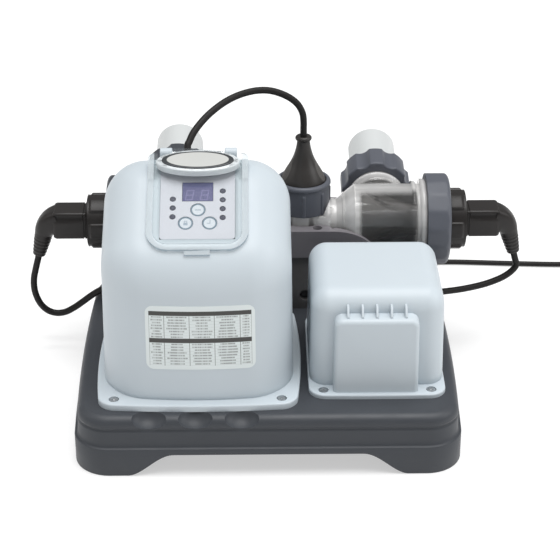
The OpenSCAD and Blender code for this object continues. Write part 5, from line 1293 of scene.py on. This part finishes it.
def plug_boot():
    """Hood and ribbed boot of a plug: a section that goes from a soft square to a circle, carried along a bend that
    turns down and then runs straight to the cable."""
    knee = BOOT_END - BOOT_LEN * BOOT_DIR
    first, middle = np.array([31.0, 0, 0.5]), knee - 13 * BOOT_DIR
    t = np.linspace(0, 1, 28)[:, None]
    bend = (1 - t) ** 2 * first + 2 * t * (1 - t) * middle + t ** 2 * knee
    along = np.linspace(0, 1, 70)[1:, None]
    path = np.vstack([bend, knee + along * BOOT_LEN * BOOT_DIR])
    square = np.concatenate([5 - 3 * t[:, 0], np.full(len(along), 2.0)])
    ribs = 0.45 * eased(np.cos(2 * np.pi * (along[:, 0] * BOOT_LEN / 4.2)), -0.6, 0.6) * eased(along[:, 0], 0.12, 0.25)
    size = np.concatenate([14.4 - 4.8 * t[:, 0] ** 1.2, 9.6 - 3.3 * along[:, 0] + ribs * eased(along[:, 0], 1, 0.92)])
    up = np.cross(unit(np.gradient(path, axis=0)), Y_AXIS)
    angle = np.linspace(0, 2 * np.pi, 73)[None, :]
    power = 2 / square[:, None]
    across = size[:, None] * np.sign(np.cos(angle)) * np.abs(np.cos(angle)) ** power
    lift = size[:, None] * np.sign(np.sin(angle)) * np.abs(np.sin(angle)) ** power
    return stacked(path[:, None] + across[..., None] * Y_AXIS + lift[..., None] * up[:, None])


for name, x, side in (("cell_plug", 207.8, 1), ("ioniser_plug", -186.2, -1)):
    piece(name + "_moulding", [AXIS + x * X_AXIS + grid * [side, 1, 1] for grid in (plug_body(), plug_boot())], BLACK,
          name, 38)

cone_cut = [(66, 21.5), (73, 21.5), (92, 37.05), (92, 46), (66, 46), (66, 21.5)]
carve(smoothed("manifold_body", 40), [turned(cone_cut, AXIS, X_AXIS, Z_AXIS, 96)], 40)
CONE = [(64, 18.4), (64, 21.3), (73, 21.3), (78.6, 26), (79, 27.6), (80.6, 28.6), (81, 28), (91.5, 36.9), (93, 36.9),
        (93, 33.8), (91, 33.6), (74, 18.4), (64, 18.4)]
piece("reducer_cone", [turned(CONE, AXIS, X_AXIS, Z_AXIS, 128)], CLEAR, "manifold_body", 25)
for edge, nodes in (
    (1.4, "manifold_cradle"), (1.0, "right_hose_cuff left_hose_cuff"), (0.8, "cell_head ioniser_head"),
    (0.5, "cell_casing ioniser_casing cell_gland ioniser_gland sensor_gland mains_gland"),
    (0.3, "control_screws power_screws"),
):
    for node in nodes.split():
        softened_edges(smoothed(node), edge)


# Light and floor
def studio():
    """Pale floor, near-white surround, a wide soft light from above and a fill light on each side."""
    scene = bpy.context.scene
    scene.view_settings.view_transform = "Standard"
    world = bpy.data.worlds.new("studio")
    world.use_nodes = True
    world.node_tree.nodes["Background"].inputs["Color"].default_value = (1, 1, 1, 1)
    world.node_tree.nodes["Background"].inputs["Strength"].default_value = 0.32
    scene.world = world
    floor_finish = Finish("studio_floor", Roughness=0.6, Emission_Color=(1, 1, 1, 1), Emission_Strength=0.5)
    floor_finish.colour(floor_finish.blend(floor_finish.noise(3), (0.5, 0.5, 0.5, 1), (0.53, 0.53, 0.53, 1)))
    span = np.array([-6000.0, 6000.0])
    grid = np.stack([*np.meshgrid(span, span, indexing="ij"), np.zeros((2, 2))], -1)
    mesh = bpy.data.meshes.new("studio_floor")
    mesh.from_pydata((grid.reshape(-1, 3) * MM).tolist(), [], [[0, 2, 3, 1]])
    mesh.materials.append(floor_finish.material)
    floor = bpy.data.objects.new("studio_floor", mesh)
    scene.collection.objects.link(floor)
    for name, kind, spot, energy, size in (
        ("fill_light", "AREA", (1.9, -0.35, 1.4), 14, 1.2), ("left_light", "AREA", (-1.9, 0.0, 1.3), 5, 1.2),
        ("top_light", "SUN", (0.12, -0.08, 2.0), 2.8, math.radians(46)),
    ):
        lamp = bpy.data.lights.new(name, kind)
        lamp.energy = energy
        setattr(lamp, "size" if kind == "AREA" else "angle", size)
        holder = bpy.data.objects.new(name, lamp)
        holder.location = spot
        holder.rotation_euler = (AIM - Vector(spot)).to_track_quat("-Z", "Y").to_euler()
        scene.collection.objects.link(holder)


studio()
